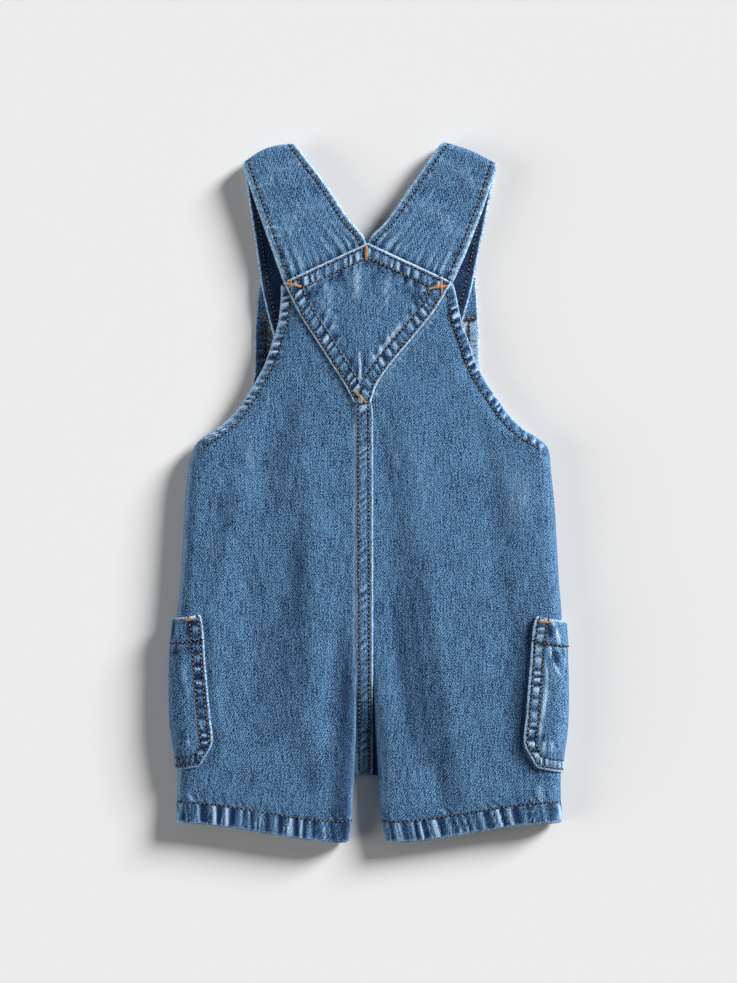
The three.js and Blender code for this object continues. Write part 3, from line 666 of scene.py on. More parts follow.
class Wall:
    """A sheet of cloth: a grid of points on its right side, with its wall, rounded edges, wear and painted
    shading.
    """

    def __init__(self, points: Array, flat: Array, facing: int) -> None:
        """Keeps the grid.

        Args:
            points: rows by columns by 3, the right side.
            flat: rows by columns by 2, where each point lies on the flat cloth.
            facing: 1 where columns, then rows, turn outwards, and -1 otherwise.
        """
        self.points = points
        self.flat = flat
        self.weave = flat
        self.present = np.ones((points.shape[0] - 1, points.shape[1] - 1), bool)
        self.turned = np.zeros(self.present.shape, bool)
        self.relief = Relief(np.zeros(points.shape[:2]), np.zeros(points.shape[:2]))
        across = np.gradient(points, axis=1)
        along = np.gradient(points, axis=0)
        normals = np.cross(across, along) * facing
        self.normals = normals / np.maximum(np.linalg.norm(normals, axis=2, keepdims=True), TINY)
        self.facing = facing

    @classmethod
    def in_plan(cls, x: Array, y: Array, z: Array, facing: int) -> "Wall":
        """A sheet whose flat coordinates are its plan."""
        points = np.stack([x, y, z], axis=2)
        return cls(points, points[..., :2].copy(), facing)

    @property
    def places(self) -> tuple[Array, Array]:
        """The flat coordinates of all points."""
        return self.flat[..., 0], self.flat[..., 1]

    def surface(self) -> Array:
        """The points of the right side with the relief."""
        return self.points + self.normals * self.relief.height[..., None]

    def unroll(self) -> None:
        """Measures the weave along each row, so that it isn't stretched round the folds."""
        sign = np.sign(self.points[0, -1, 0] - self.points[0, 0, 0])
        self.weave = np.stack([self.points[:, :1, 0] + sign * travel(self.points), self.flat[..., 1]], axis=2)

    def calm_folds(self) -> None:
        """Weakens the wear and painted shading where the cloth turns down at a fold."""
        self.relief.wear_and_shading = self.relief.wear_and_shading * mix(0.4, 1.0, smooth(0.1, 0.8, np.abs(self.normals[..., 2])))

    def add(self, height: Array | float, wear_and_shading: Array | float) -> None:
        """Adds to the cloth's height, and to its wear and painted shading."""
        self.relief.add(height, wear_and_shading)

    def press(self, *marks: Seam | Crease | Shade) -> None:
        """Presses seams, creases and bands of painted light and shade into the cloth."""
        for mark in marks:
            mark.press(self.relief, *self.places)

    def edge_faces(self, corners: list[Array], rim: Rim) -> Array:
        """Joins both sides round all edges of the cloth.

        Args:
            corners: the vertices at the four corners of each cell.
            rim: the middle of the rounded edge.

        Returns:
            The faces.
        """
        rows, columns = self.points.shape[:2]
        count = rows * columns
        padded = np.pad(self.present, 1)
        faces = []
        directions = (((-1, 0), 0, 1), ((0, 1), 1, 2), ((1, 0), 2, 3), ((0, -1), 3, 0))
        for (row_step, column_step), first, second in directions:
            beside = padded[1 + row_step:rows + row_step, 1 + column_step:columns + column_step]
            for cell in zip(*np.nonzero(self.present & ~beside)):
                a, b, opposite = (corners[k][cell] for k in (first, second, (first + 3) % 4))
                outwards = unit(rim.outer[a] - rim.outer[opposite])
                ma, mb = rim.middle_of(a, outwards), rim.middle_of(b, outwards)
                for face in ([b, a, ma, mb], [mb, ma, a + count, b + count]):
                    faces.append(face[::self.facing])
        return np.array(faces)

    def build(
        self, name: str, thickness: Array | float, materials: list[bpy.types.Material]
    ) -> bpy.types.Object:
        """Makes the mesh.

        Args:
            name: the piece's name.
            thickness: the cloth's thickness at each point.
            materials: the right side's and the wrong side's.

        Returns:
            The new object.
        """
        rows, columns = self.points.shape[:2]
        count = rows * columns
        thick = np.broadcast_to(thickness, (rows, columns))[..., None]
        outer = self.surface().reshape(-1, 3)
        inner = (self.points - self.normals * thick).reshape(-1, 3)
        index = np.arange(count).reshape(rows, columns)
        corners = [index[:-1, :-1], index[:-1, 1:], index[1:, 1:], index[1:, :-1]]
        quads = np.stack([corner[self.present] for corner in corners], axis=1)[:, ::self.facing]
        rim = Rim(outer, inner, thick.reshape(-1))
        faces = np.concatenate([quads, (quads + count)[:, ::-1], self.edge_faces(corners, rim)])
        used, faces = np.unique(faces, return_inverse=True)
        faces = faces.reshape(-1, 4)
        vertices = np.concatenate([outer, inner, rim.points])
        weave = np.concatenate([self.weave.reshape(-1, 2)] * 2 + [np.zeros((len(rim.points), 2))])
        weave[list(rim.middle.values())] = weave[list(rim.middle)]
        wear_and_shading = np.concatenate([self.relief.wear_and_shading.reshape(-1)] * 2 + [np.full(len(rim.points), rim.wear_and_shading)])
        piece = new_piece(name, vertices[used], faces, materials)
        mesh = piece.data
        if len(materials) > 1:
            side = np.zeros(len(faces), np.int32)
            side[len(quads):2 * len(quads)] = ~self.turned[self.present]
            mesh.polygons.foreach_set("material_index", side)
        layer = mesh.uv_layers.new(name="cloth")
        layer.data.foreach_set("uv", (weave[used][faces.reshape(-1)] * UV_SCALE).reshape(-1))
        mesh.attributes.new("wear_and_shading", "FLOAT", "POINT").data.foreach_set("value", wear_and_shading[used])
        mesh.validate()
        return piece


def start_material(name: str, values: dict[str, object]) -> tuple[bpy.types.Material, bpy.types.NodeTree]:
    """Starts a material.

    Args:
        name: its name.
        values: what the sockets of its shader are set to.

    Returns:
        The material and its nodes.
    """
    material = bpy.data.materials.new(name)
    material.use_nodes = True
    for socket, value in values.items():
        material.node_tree.nodes["Principled BSDF"].inputs[socket].default_value = value
    return material, material.node_tree


def add_bump(tree: bpy.types.NodeTree, height: object, strength: float, distance: float) -> None:
    """Lets a height tilt the light on a material.

    Args:
        tree: the material's nodes.
        height: the socket of the height.
        strength: how strongly it shows.
        distance: how high a height of 1 is, in metres.
    """
    bump = tree.nodes.new("ShaderNodeBump")
    bump.inputs["Strength"].default_value = strength
    bump.inputs["Distance"].default_value = distance
    tree.links.new(height, bump.inputs["Height"])
    tree.links.new(bump.outputs["Normal"], tree.nodes["Principled BSDF"].inputs["Normal"])


def object_texture(tree: bpy.types.NodeTree, kind: str, values: dict[str, float]) -> object:
    """Adds a texture in the coordinates of the object.

    Args:
        tree: the material's nodes.
        kind: the texture's type.
        values: what its sockets are set to.

    Returns:
        The socket of its value.
    """
    texture = tree.nodes.new(kind)
    for socket, value in values.items():
        texture.inputs[socket].default_value = value
    place = tree.nodes.new("ShaderNodeTexCoord")
    tree.links.new(place.outputs["Object"], texture.inputs["Vector"])
    return texture.outputs["Fac"]


def two_colours(
    tree: bpy.types.NodeTree, share: object, first: tuple[float, ...], second: tuple[float, ...]
) -> None:
    """Colours a material between two colours.

    Args:
        tree: the material's nodes.
        share: the socket with the second colour's share.
        first: the first colour.
        second: the second colour.
    """
    colours = tree.nodes.new("ShaderNodeMix")
    colours.data_type = "RGBA"
    colours.inputs["A"].default_value = (*first, 1)
    colours.inputs["B"].default_value = (*second, 1)
    tree.links.new(share, colours.inputs["Factor"])
    tree.links.new(colours.outputs["Result"], tree.nodes["Principled BSDF"].inputs["Base Color"])


@dataclass(frozen=True)
class DenimFinish:
    """Washed denim: the colours of its yarns, its pale worn and highlight colour, its painted shade colour,
    and how strongly they vary.
    """

    name: str
    dark: tuple[float, float, float]
    light: tuple[float, float, float]
    # The pale colour, for worn cloth and painted highlights.
    worn_and_painted: tuple[float, float, float]
    # The painted shade colour, for valleys, grooves and gaps.
    deep: tuple[float, float, float]
    contrast: float = 1.0
    lean: float = 1.0
    pale: float = 0.36

    def material(self) -> bpy.types.Material:
        """Makes the material.

        Returns:
            The material.
        """
        material, tree = start_material(self.name, {"Sheen Weight": 0.08, "Specular IOR Level": 0.2})
        nodes, links = tree.nodes, tree.links
        shader = nodes["Principled BSDF"]
        place = nodes.new("ShaderNodeUVMap")
        place.uv_map = "cloth"
        wear_and_shading = nodes.new("ShaderNodeAttribute")
        wear_and_shading.attribute_name = "wear_and_shading"
        twill = nodes.new("ShaderNodeGroup")
        twill.node_tree = twill_group()
        links.new(place.outputs["UV"], twill.inputs["Cloth"])
        twill.inputs["Lean"].default_value = self.lean
        twill.inputs["Pale"].default_value = self.pale
        wash = nodes.new("ShaderNodeGroup")
        wash.node_tree = wash_group()
        colours = {"Dark": self.dark, "Light": self.light, "Worn and highlight": self.worn_and_painted, "Painted shade": self.deep}
        for socket, colour in colours.items():
            wash.inputs[socket].default_value = (*colour, 1)
        wash.inputs["Contrast"].default_value = self.contrast
        links.new(twill.outputs["Fleck"], wash.inputs["Fleck"])
        links.new(twill.outputs["Cloud"], wash.inputs["Cloud"])
        links.new(wear_and_shading.outputs["Fac"], wash.inputs["Wear and shading"])
        links.new(wash.outputs["Colour"], shader.inputs["Base Color"])
        links.new(wash.outputs["Roughness"], shader.inputs["Roughness"])
        add_bump(tree, twill.outputs["Height"], 0.5, 0.0004)
        return material


def group_of(name: str, inputs: dict[str, str], outputs: dict[str, str]) -> bpy.types.NodeTree:
    """Starts a shader group with named sockets.

    Args:
        name: the group's name.
        inputs: the kind of each input, by name.
        outputs: the kind of each output, by name.

    Returns:
        The group, with its input and output nodes.
    """
    tree = bpy.data.node_groups.new(name, "ShaderNodeTree")
    for way, sockets in (("INPUT", inputs), ("OUTPUT", outputs)):
        for socket, kind in sockets.items():
            tree.interface.new_socket(socket, in_out=way, socket_type=f"NodeSocket{kind}")
    tree.nodes.new("NodeGroupInput")
    tree.nodes.new("NodeGroupOutput")
    return tree


def maths(
    tree: bpy.types.NodeTree, operation: str, a: object, b: object = 0.0, clamp: bool = False
) -> object:
    """Adds a Math node.

    Args:
        tree: the node tree.
        operation: what it does.
        a: a socket or a number.
        b: a socket or a number.
        clamp: whether the result stays from 0 to 1.

    Returns:
        Its output socket.
    """
    node = tree.nodes.new("ShaderNodeMath")
    node.operation = operation
    node.use_clamp = clamp
    for socket, value in zip(node.inputs, (a, b)):
        if isinstance(value, (int, float)):
            socket.default_value = value
        else:
            tree.links.new(value, socket)
    return node.outputs[0]


def blend_colours(tree: bpy.types.NodeTree, share: object, a: object, b: object) -> object:
    """Adds a Mix node for colours.

    Args:
        tree: the node tree.
        share: the socket with b's share.
        a: the first colour's socket.
        b: the second colour's socket.

    Returns:
        Its output socket.
    """
    node = tree.nodes.new("ShaderNodeMix")
    node.data_type = "RGBA"
    tree.links.new(share, node.inputs["Factor"])
    tree.links.new(a, node.inputs["A"])
    tree.links.new(b, node.inputs["B"])
    return node.outputs["Result"]


def noise(
    tree: bpy.types.NodeTree, cloth: object, turn: float, cells: tuple[float, float], detail: float
) -> object:
    """Adds a noise whose grains have a size on the cloth.

    Args:
        tree: the node tree.
        cloth: the socket of the cloth's coordinates.
        turn: how far the grains are turned, in degrees.
        cells: the grains' width and length in millimetres.
        detail: the noise's detail.

    Returns:
        The socket of its value.
    """
    mapping = tree.nodes.new("ShaderNodeMapping")
    mapping.vector_type = "TEXTURE"
    mapping.inputs["Rotation"].default_value[2] = math.radians(turn)
    mapping.inputs["Scale"].default_value = (cells[0] * UV_SCALE, cells[1] * UV_SCALE, 1)
    tree.links.new(cloth, mapping.inputs["Vector"])
    texture = tree.nodes.new("ShaderNodeTexNoise")
    texture.noise_dimensions = "2D"
    texture.inputs["Scale"].default_value = 1.0
    texture.inputs["Detail"].default_value = detail
    tree.links.new(mapping.outputs["Vector"], texture.inputs["Vector"])
    return texture.outputs["Fac"]


YARN = 0.65
FLOAT = 2.50


def twill_group() -> bpy.types.NodeTree:
    """The twill weave, built once: pale weft dots in slanting lines between blue warp yarns.

    Returns:
        The group, whose Lean slants the lines to one side or the other and whose Pale is the dots' share.
    """
    if "Twill weave" in bpy.data.node_groups:
        return bpy.data.node_groups["Twill weave"]
    numbers = {"Lean": "Float", "Pale": "Float"}
    tree = group_of("Twill weave", {"Cloth": "Vector"} | numbers,
                    {"Fleck": "Float", "Cloud": "Float", "Height": "Float"})
    entry, leave = tree.nodes["Group Input"], tree.nodes["Group Output"]
    cloth = entry.outputs["Cloth"]
    slub = noise(tree, cloth, 1, (0.75, 15.0), 0.0)
    patch = noise(tree, cloth, -38, (1.3, 2.2), 1.0)
    grain = noise(tree, cloth, -38, (0.5, 0.85), 0.0)
    cloud = noise(tree, cloth, 12, (26.0, 42.0), 3.0)
    drift = noise(tree, cloth, 5, (3.5, 5.0), 1.0)
    waver = maths(tree, "MULTIPLY", maths(tree, "SUBTRACT", drift, 0.5), 1.6)
    grid = tree.nodes.new("ShaderNodeMapping")
    grid.vector_type = "TEXTURE"
    grid.inputs["Scale"].default_value = (YARN * UV_SCALE, FLOAT * UV_SCALE, 1)
    tree.links.new(cloth, grid.inputs["Vector"])
    place = tree.nodes.new("ShaderNodeSeparateXYZ")
    tree.links.new(grid.outputs["Vector"], place.inputs["Vector"])
    yarn = maths(tree, "FLOOR", maths(tree, "ADD", place.outputs["X"], waver))
    slide = maths(tree, "MULTIPLY", yarn, maths(tree, "MULTIPLY", entry.outputs["Lean"], 1 / 3))
    length = maths(tree, "SUBTRACT", maths(tree, "ADD", place.outputs["Y"], waver), slide)
    pick = maths(tree, "FLOOR", length)
    cell = tree.nodes.new("ShaderNodeCombineXYZ")
    tree.links.new(yarn, cell.inputs["X"])
    tree.links.new(pick, cell.inputs["Y"])
    chance = tree.nodes.new("ShaderNodeTexWhiteNoise")
    chance.noise_dimensions = "2D"
    tree.links.new(cell.outputs["Vector"], chance.inputs["Vector"])
    chances = tree.nodes.new("ShaderNodeSeparateColor")
    tree.links.new(chance.outputs["Color"], chances.inputs["Color"])
    dot = maths(tree, "LESS_THAN", maths(tree, "SUBTRACT", length, pick), entry.outputs["Pale"])
    bright = maths(tree, "ADD", maths(tree, "MULTIPLY", chances.outputs["Red"], 1.2), 0.25)
    dull = maths(tree, "MULTIPLY", chances.outputs["Green"], 0.2)
    weave = maths(tree, "ADD", dull, maths(tree, "MULTIPLY", dot, maths(tree, "SUBTRACT", bright, dull)))
    for part, share in ((slub, 1.1), (patch, 0.4), (grain, 3.0)):
        weave = maths(tree, "ADD", weave, maths(tree, "MULTIPLY", maths(tree, "SUBTRACT", part, 0.5), share))
    fleck = maths(tree, "MULTIPLY", weave, 1.0, clamp=True)
    tree.links.new(fleck, leave.inputs["Fleck"])
    tree.links.new(cloud, leave.inputs["Cloud"])
    tree.links.new(weave, leave.inputs["Height"])
    return tree


def wash_group() -> bpy.types.NodeTree:
    """The washed colour, built once: yarns by fleck, pale where it is worn and where light is painted, and a
    deep painted shade in the valleys.

    Returns:
        The group.
    """
    if "Washed colour" in bpy.data.node_groups:
        return bpy.data.node_groups["Washed colour"]
    kinds = {"Dark": "Color", "Light": "Color", "Worn and highlight": "Color", "Painted shade": "Color"}
    numbers = {"Fleck": "Float", "Cloud": "Float", "Wear and shading": "Float", "Contrast": "Float"}
    tree = group_of("Washed colour", kinds | numbers, {"Colour": "Color", "Roughness": "Float"})
    entry, leave = tree.nodes["Group Input"], tree.nodes["Group Output"]
    fleck, wear_and_shading = entry.outputs["Fleck"], entry.outputs["Wear and shading"]
    spread = maths(tree, "MULTIPLY", maths(tree, "SUBTRACT", fleck, 0.5), entry.outputs["Contrast"])
    faded = maths(tree, "MULTIPLY", maths(tree, "SUBTRACT", entry.outputs["Cloud"], 0.5), 0.22)
    washed = maths(tree, "MULTIPLY", wear_and_shading, 0.5)
    lighter = maths(tree, "ADD", faded, washed)
    share = maths(tree, "ADD", maths(tree, "ADD", spread, 0.47), lighter, clamp=True)
    yarns = blend_colours(tree, share, entry.outputs["Dark"], entry.outputs["Light"])
    # Paler towards the pale colour: real wear and painted highlights.
    bare = maths(tree, "SUBTRACT", wear_and_shading, 0.2)
    flecked = maths(tree, "ADD", maths(tree, "MULTIPLY", fleck, 0.9), 0.3)
    pale = maths(tree, "MULTIPLY", bare, flecked, clamp=True)
    worn_and_painted = blend_colours(tree, pale, yarns, entry.outputs["Worn and highlight"])
    # Painted shade: the deep colour where the tone is dark.
    sunk_and_shaded = maths(tree, "MULTIPLY", wear_and_shading, -0.8, clamp=True)
    final = blend_colours(tree, sunk_and_shaded, worn_and_painted, entry.outputs["Painted shade"])
    rough = maths(tree, "ADD", maths(tree, "MULTIPLY", fleck, -0.12), 0.92)
    tree.links.new(final, leave.inputs["Colour"])
    tree.links.new(rough, leave.inputs["Roughness"])
    return tree


@dataclass(frozen=True)
class ThreadFinish:
    """Sewing thread: its colour and how far it varies."""

    name: str
    colour: tuple[float, float, float]
    shade: tuple[float, float, float]
    shine: float = 0.4

    def material(self) -> bpy.types.Material:
        """Makes the material.

        Returns:
            The material.
        """
        material, tree = start_material(self.name, {"Roughness": 0.62, "Specular IOR Level": self.shine})
        patches = object_texture(tree, "ShaderNodeTexNoise", {"Scale": 420.0, "Detail": 2.0})
        spread = maths(tree, "MULTIPLY", maths(tree, "SUBTRACT", patches, 0.35), 3.0, clamp=True)
        two_colours(tree, spread, self.shade, self.colour)
        twist = object_texture(tree, "ShaderNodeTexWave", {"Scale": 900.0})
        add_bump(tree, twist, 0.4, 0.0002)
        return material


@dataclass(frozen=True)
class MetalFinish:
    """Aged metal: its bright and its tarnished colour."""

    name: str
    bright: tuple[float, float, float]
    dull: tuple[float, float, float]

    def material(self) -> bpy.types.Material:
        """Makes the material.

        Returns:
            The material.
        """
        material, tree = start_material(self.name, {"Metallic": 1.0})
        tarnish = object_texture(tree, "ShaderNodeTexNoise", {"Scale": 260.0, "Detail": 6.0})
        two_colours(tree, tarnish, self.dull, self.bright)
        rough = maths(tree, "ADD", maths(tree, "MULTIPLY", tarnish, 0.35), 0.2)
        tree.links.new(rough, tree.nodes["Principled BSDF"].inputs["Roughness"])
        return material


@dataclass
class Wardrobe:
    """The finishes of the whole garment, each made once."""

    denim: bpy.types.Material = field(init=False)
    inside: bpy.types.Material = field(init=False)
    thread: bpy.types.Material = field(init=False)
    tack: bpy.types.Material = field(init=False)
    groove_shade: bpy.types.Material = field(init=False)
    metal: bpy.types.Material = field(init=False)

    def __post_init__(self) -> None:
        """Makes the materials."""
        self.denim = DenimFinish(
            "washed denim",
            dark=(0.0005, 0.011, 0.050),
            light=(0.155, 0.355, 0.620),
            # The pale colour is for worn cloth and painted highlights; deep is painted shade.
            worn_and_painted=(0.58, 0.75, 0.92),
            deep=(0.0005, 0.016, 0.068),
        ).material()
        self.inside = DenimFinish(
            "denim wrong side",
            dark=(0.05, 0.08, 0.13),
            light=(0.66, 0.70, 0.74),
            # The pale colour is for worn cloth and painted highlights; deep is painted shade.
            worn_and_painted=(0.74, 0.78, 0.82),
            deep=(0.03, 0.05, 0.09),
            lean=-1.0,
            pale=0.6,
        ).material()
        self.thread = ThreadFinish("tan thread", (0.56, 0.41, 0.22), (0.17, 0.11, 0.06)).material()
        self.tack = ThreadFinish("orange tack thread", (0.70, 0.38, 0.12), (0.42, 0.20, 0.06)).material()
        # A near-black strip under each row of stitches: painted shade of the stitch groove.
        self.groove_shade = ThreadFinish("painted groove shade", (0.004, 0.009, 0.022), (0.001, 0.003, 0.009), 0.0).material()
        self.metal = MetalFinish("aged brass", (0.50, 0.36, 0.20), (0.22, 0.15, 0.09)).material()


def select_only(thing: bpy.types.Object) -> None:
    """Makes one object the only one selected, and the active one.

    Args:
        thing: the object.
    """
    for other in bpy.context.selected_objects:
        other.select_set(False)
    thing.select_set(True)
    bpy.context.view_layer.objects.active = thing


def model_stitch() -> tuple[Array, Array]:
    """Models one stitch along X, half sunk in the cloth.

    Returns:
        Its vertices and its faces as triangles.
    """
    bpy.ops.mesh.primitive_uv_sphere_add(segments=8, ring_count=5, radius=0.5)
    stitch = bpy.context.object
    select_only(stitch)
    bpy.ops.object.mode_set(mode="EDIT")
    bpy.ops.mesh.select_all(action="SELECT")
    bpy.ops.transform.rotate(value=math.pi / 2, orient_axis="Y", center_override=(0, 0, 0))
    bpy.ops.mesh.quads_convert_to_tris()
    bpy.ops.object.mode_set(mode="OBJECT")
    vertices = np.array([vertex.co for vertex in stitch.data.vertices])
    faces = np.array([polygon.vertices for polygon in stitch.data.polygons])
    bpy.data.objects.remove(stitch)
    blunt = np.sign(vertices) * np.abs(vertices * 2) ** 0.8 / 2
    vertices[:, 0] = blunt[:, 0]
    return vertices, faces


@dataclass
class Copies:
    """Copies of one stitch in their own sizes and places, joined to one mesh."""

    stitch: tuple[Array, Array] = field(init=False)
    vertices: list[Array] = field(default_factory=list)
    faces: list[Array] = field(default_factory=list)

    def __post_init__(self) -> None:
        """Models the stitch."""
        self.stitch = model_stitch()

    def add(self, centre: Array, size: tuple[float, float, float], way: Array, normal: Array) -> None:
        """Adds a copy.

        Args:
            centre: its middle.
            size: its length, width and height.
            way: the direction of its length.
            normal: the direction of its height.
        """
        vertices, faces = self.stitch
        frame = np.stack([way, np.cross(normal, way), normal])
        self.faces.append(faces + len(vertices) * len(self.vertices))
        self.vertices.append(centre + (vertices * np.array(size)) @ frame)

    def join(self, name: str, material: bpy.types.Material) -> None:
        """Makes the mesh of all copies."""
        dress(new_piece(name, np.concatenate(self.vertices), np.concatenate(self.faces), [material]), ())


@dataclass(frozen=True)
class Row:
    """Places for stitches: points on the cloth and its normals there."""

    points: Array
    normals: Array


@dataclass
class Stitcher:
    """Sews rows of stitches on finished pieces, and joins them to one mesh for each thread."""

    spacing: float = 3.1
    shortest: int = 4
    rows: list[Row] = field(default_factory=list)
    surfaces: dict[str, BVHTree] = field(default_factory=dict)

    def learn(self, piece: bpy.types.Object) -> None:
        """Keeps a piece's surface, to sew on.

        Args:
            piece: the piece.
        """
        mesh = piece.data
        places = [vertex.co / MM for vertex in mesh.vertices]
        faces = [tuple(polygon.vertices) for polygon in mesh.polygons]
        self.surfaces[piece.name] = BVHTree.FromPolygons(places, faces)

    def cast(self, piece: str, x: float, y: float, above: bool) -> tuple[Vector, Vector] | None:
        """Finds the cloth under or over a place in plan.

        Args:
            piece: the piece's name.
            x: the place in plan.
            y: the place in plan.
            above: whether to look down from above.

        Returns:
            The point and the normal there, or None past the cloth's edge.
        """
        start = Vector((x, y, 60.0 if above else -40.0))
        point, normal, _, _ = self.surfaces[piece].ray_cast(start, Vector((0, 0, -1 if above else 1)))
        return None if point is None else (point, normal)

    def sew(self, piece: bpy.types.Object, line: Array, above: bool = True) -> None:
        """Sews a row along a line in plan.

        Args:
            piece: what it is sewn on.
            line: the line's points in plan.
            above: whether the stitches lie on the upper side.
        """
        if piece.name not in self.surfaces:
            self.learn(piece)
        lengths = travel(line)
        places = np.arange(0.0, lengths[-1], self.spacing / 4)
        found = [
            self.cast(piece.name, np.interp(s, lengths, line[:, 0]), np.interp(s, lengths, line[:, 1]), above)
            for s in places
        ]
        run: list[tuple[Vector, Vector]] = []
        for hit in [*found, None]:
            if hit is not None:
                run.append(hit)
                continue
            if len(run) > self.shortest:
                self.rows.append(Row(np.array([p for p, _ in run]), np.array([n for _, n in run])))
            run = []

    def lay(
        self, name: str, material: bpy.types.Material, size: tuple[float, float, float], lift: float,
        start: float = 0.5,
    ) -> None:
        """Lays the same form at every stitch of all rows, joined to one mesh.

        Args:
            name: the piece's name.
            material: its finish.
            size: its length, width and height.
            lift: how far its middle lies above the cloth.
            start: where it lies on the stitch, 0 at the needle's hole and 0.5 in the middle.
        """
        copies = Copies()
        for row in self.rows:
            lengths = travel(row.points)
            for middle in np.arange(self.spacing * start, lengths[-1], self.spacing):
                ends = [middle - size[0] / 2, middle, middle + size[0] / 2]
                places = np.array([[np.interp(s, lengths, row.points[:, k]) for k in range(3)] for s in ends])
                normal = np.array([np.interp(middle, lengths, row.normals[:, k]) for k in range(3)])
                along = unit(places[2] - places[0])
                normal = unit(normal - along * float(normal @ along))
                copies.add(places[1] + normal * lift, size, along, normal)
        copies.join(name, material)


def dress(piece: bpy.types.Object, nodes: tuple[str, ...]) -> None:
    """Puts a piece in the place of its solids.

    Args:
        piece: the finished piece.
        nodes: the solids that it replaces.
    """
    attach(piece, "root")
    if nodes:
        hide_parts(*nodes)
    LOG.info("%s: %d faces", piece.name, len(piece.data.polygons))


def edge_line(side: Side, table: Table, top: float, bottom: float, inset: float) -> Array:
    """A line beside an edge that a table gives, from its top to its bottom.

    Args:
        side: left or right.
        table: the edge.
        top: the highest y.
        bottom: the lowest y.
        inset: how far towards the middle of the garment.

    Returns:
        The line's points.
    """
    y = np.linspace(top, bottom, 60)
    line = np.stack([table.at(side.value, y), y], axis=1)
    way = np.gradient(line, axis=0)
    way /= np.linalg.norm(way, axis=1, keepdims=True)
    inwards = np.stack([way[:, 1], -way[:, 0]], axis=1) * -side.sign
    towards = np.sign(-side.sign * inwards[:, :1])
    return line + inwards * np.where(towards == 0, 1, towards) * inset


def hem_line(side: Side, rise: float) -> Array:
    """A line along a leg hem.

    Args:
        side: left or right.
        rise: how far above the leg's bottom.

    Returns:
        The line's points, from the inseam to the side.
    """
    x = side.sign * np.linspace(CUT.leg_inner - 3, CUT.leg_outer, 50)
    return np.stack([x, CUT.leg_bottom + rise + Layers.bottom_lift(x)], axis=1)


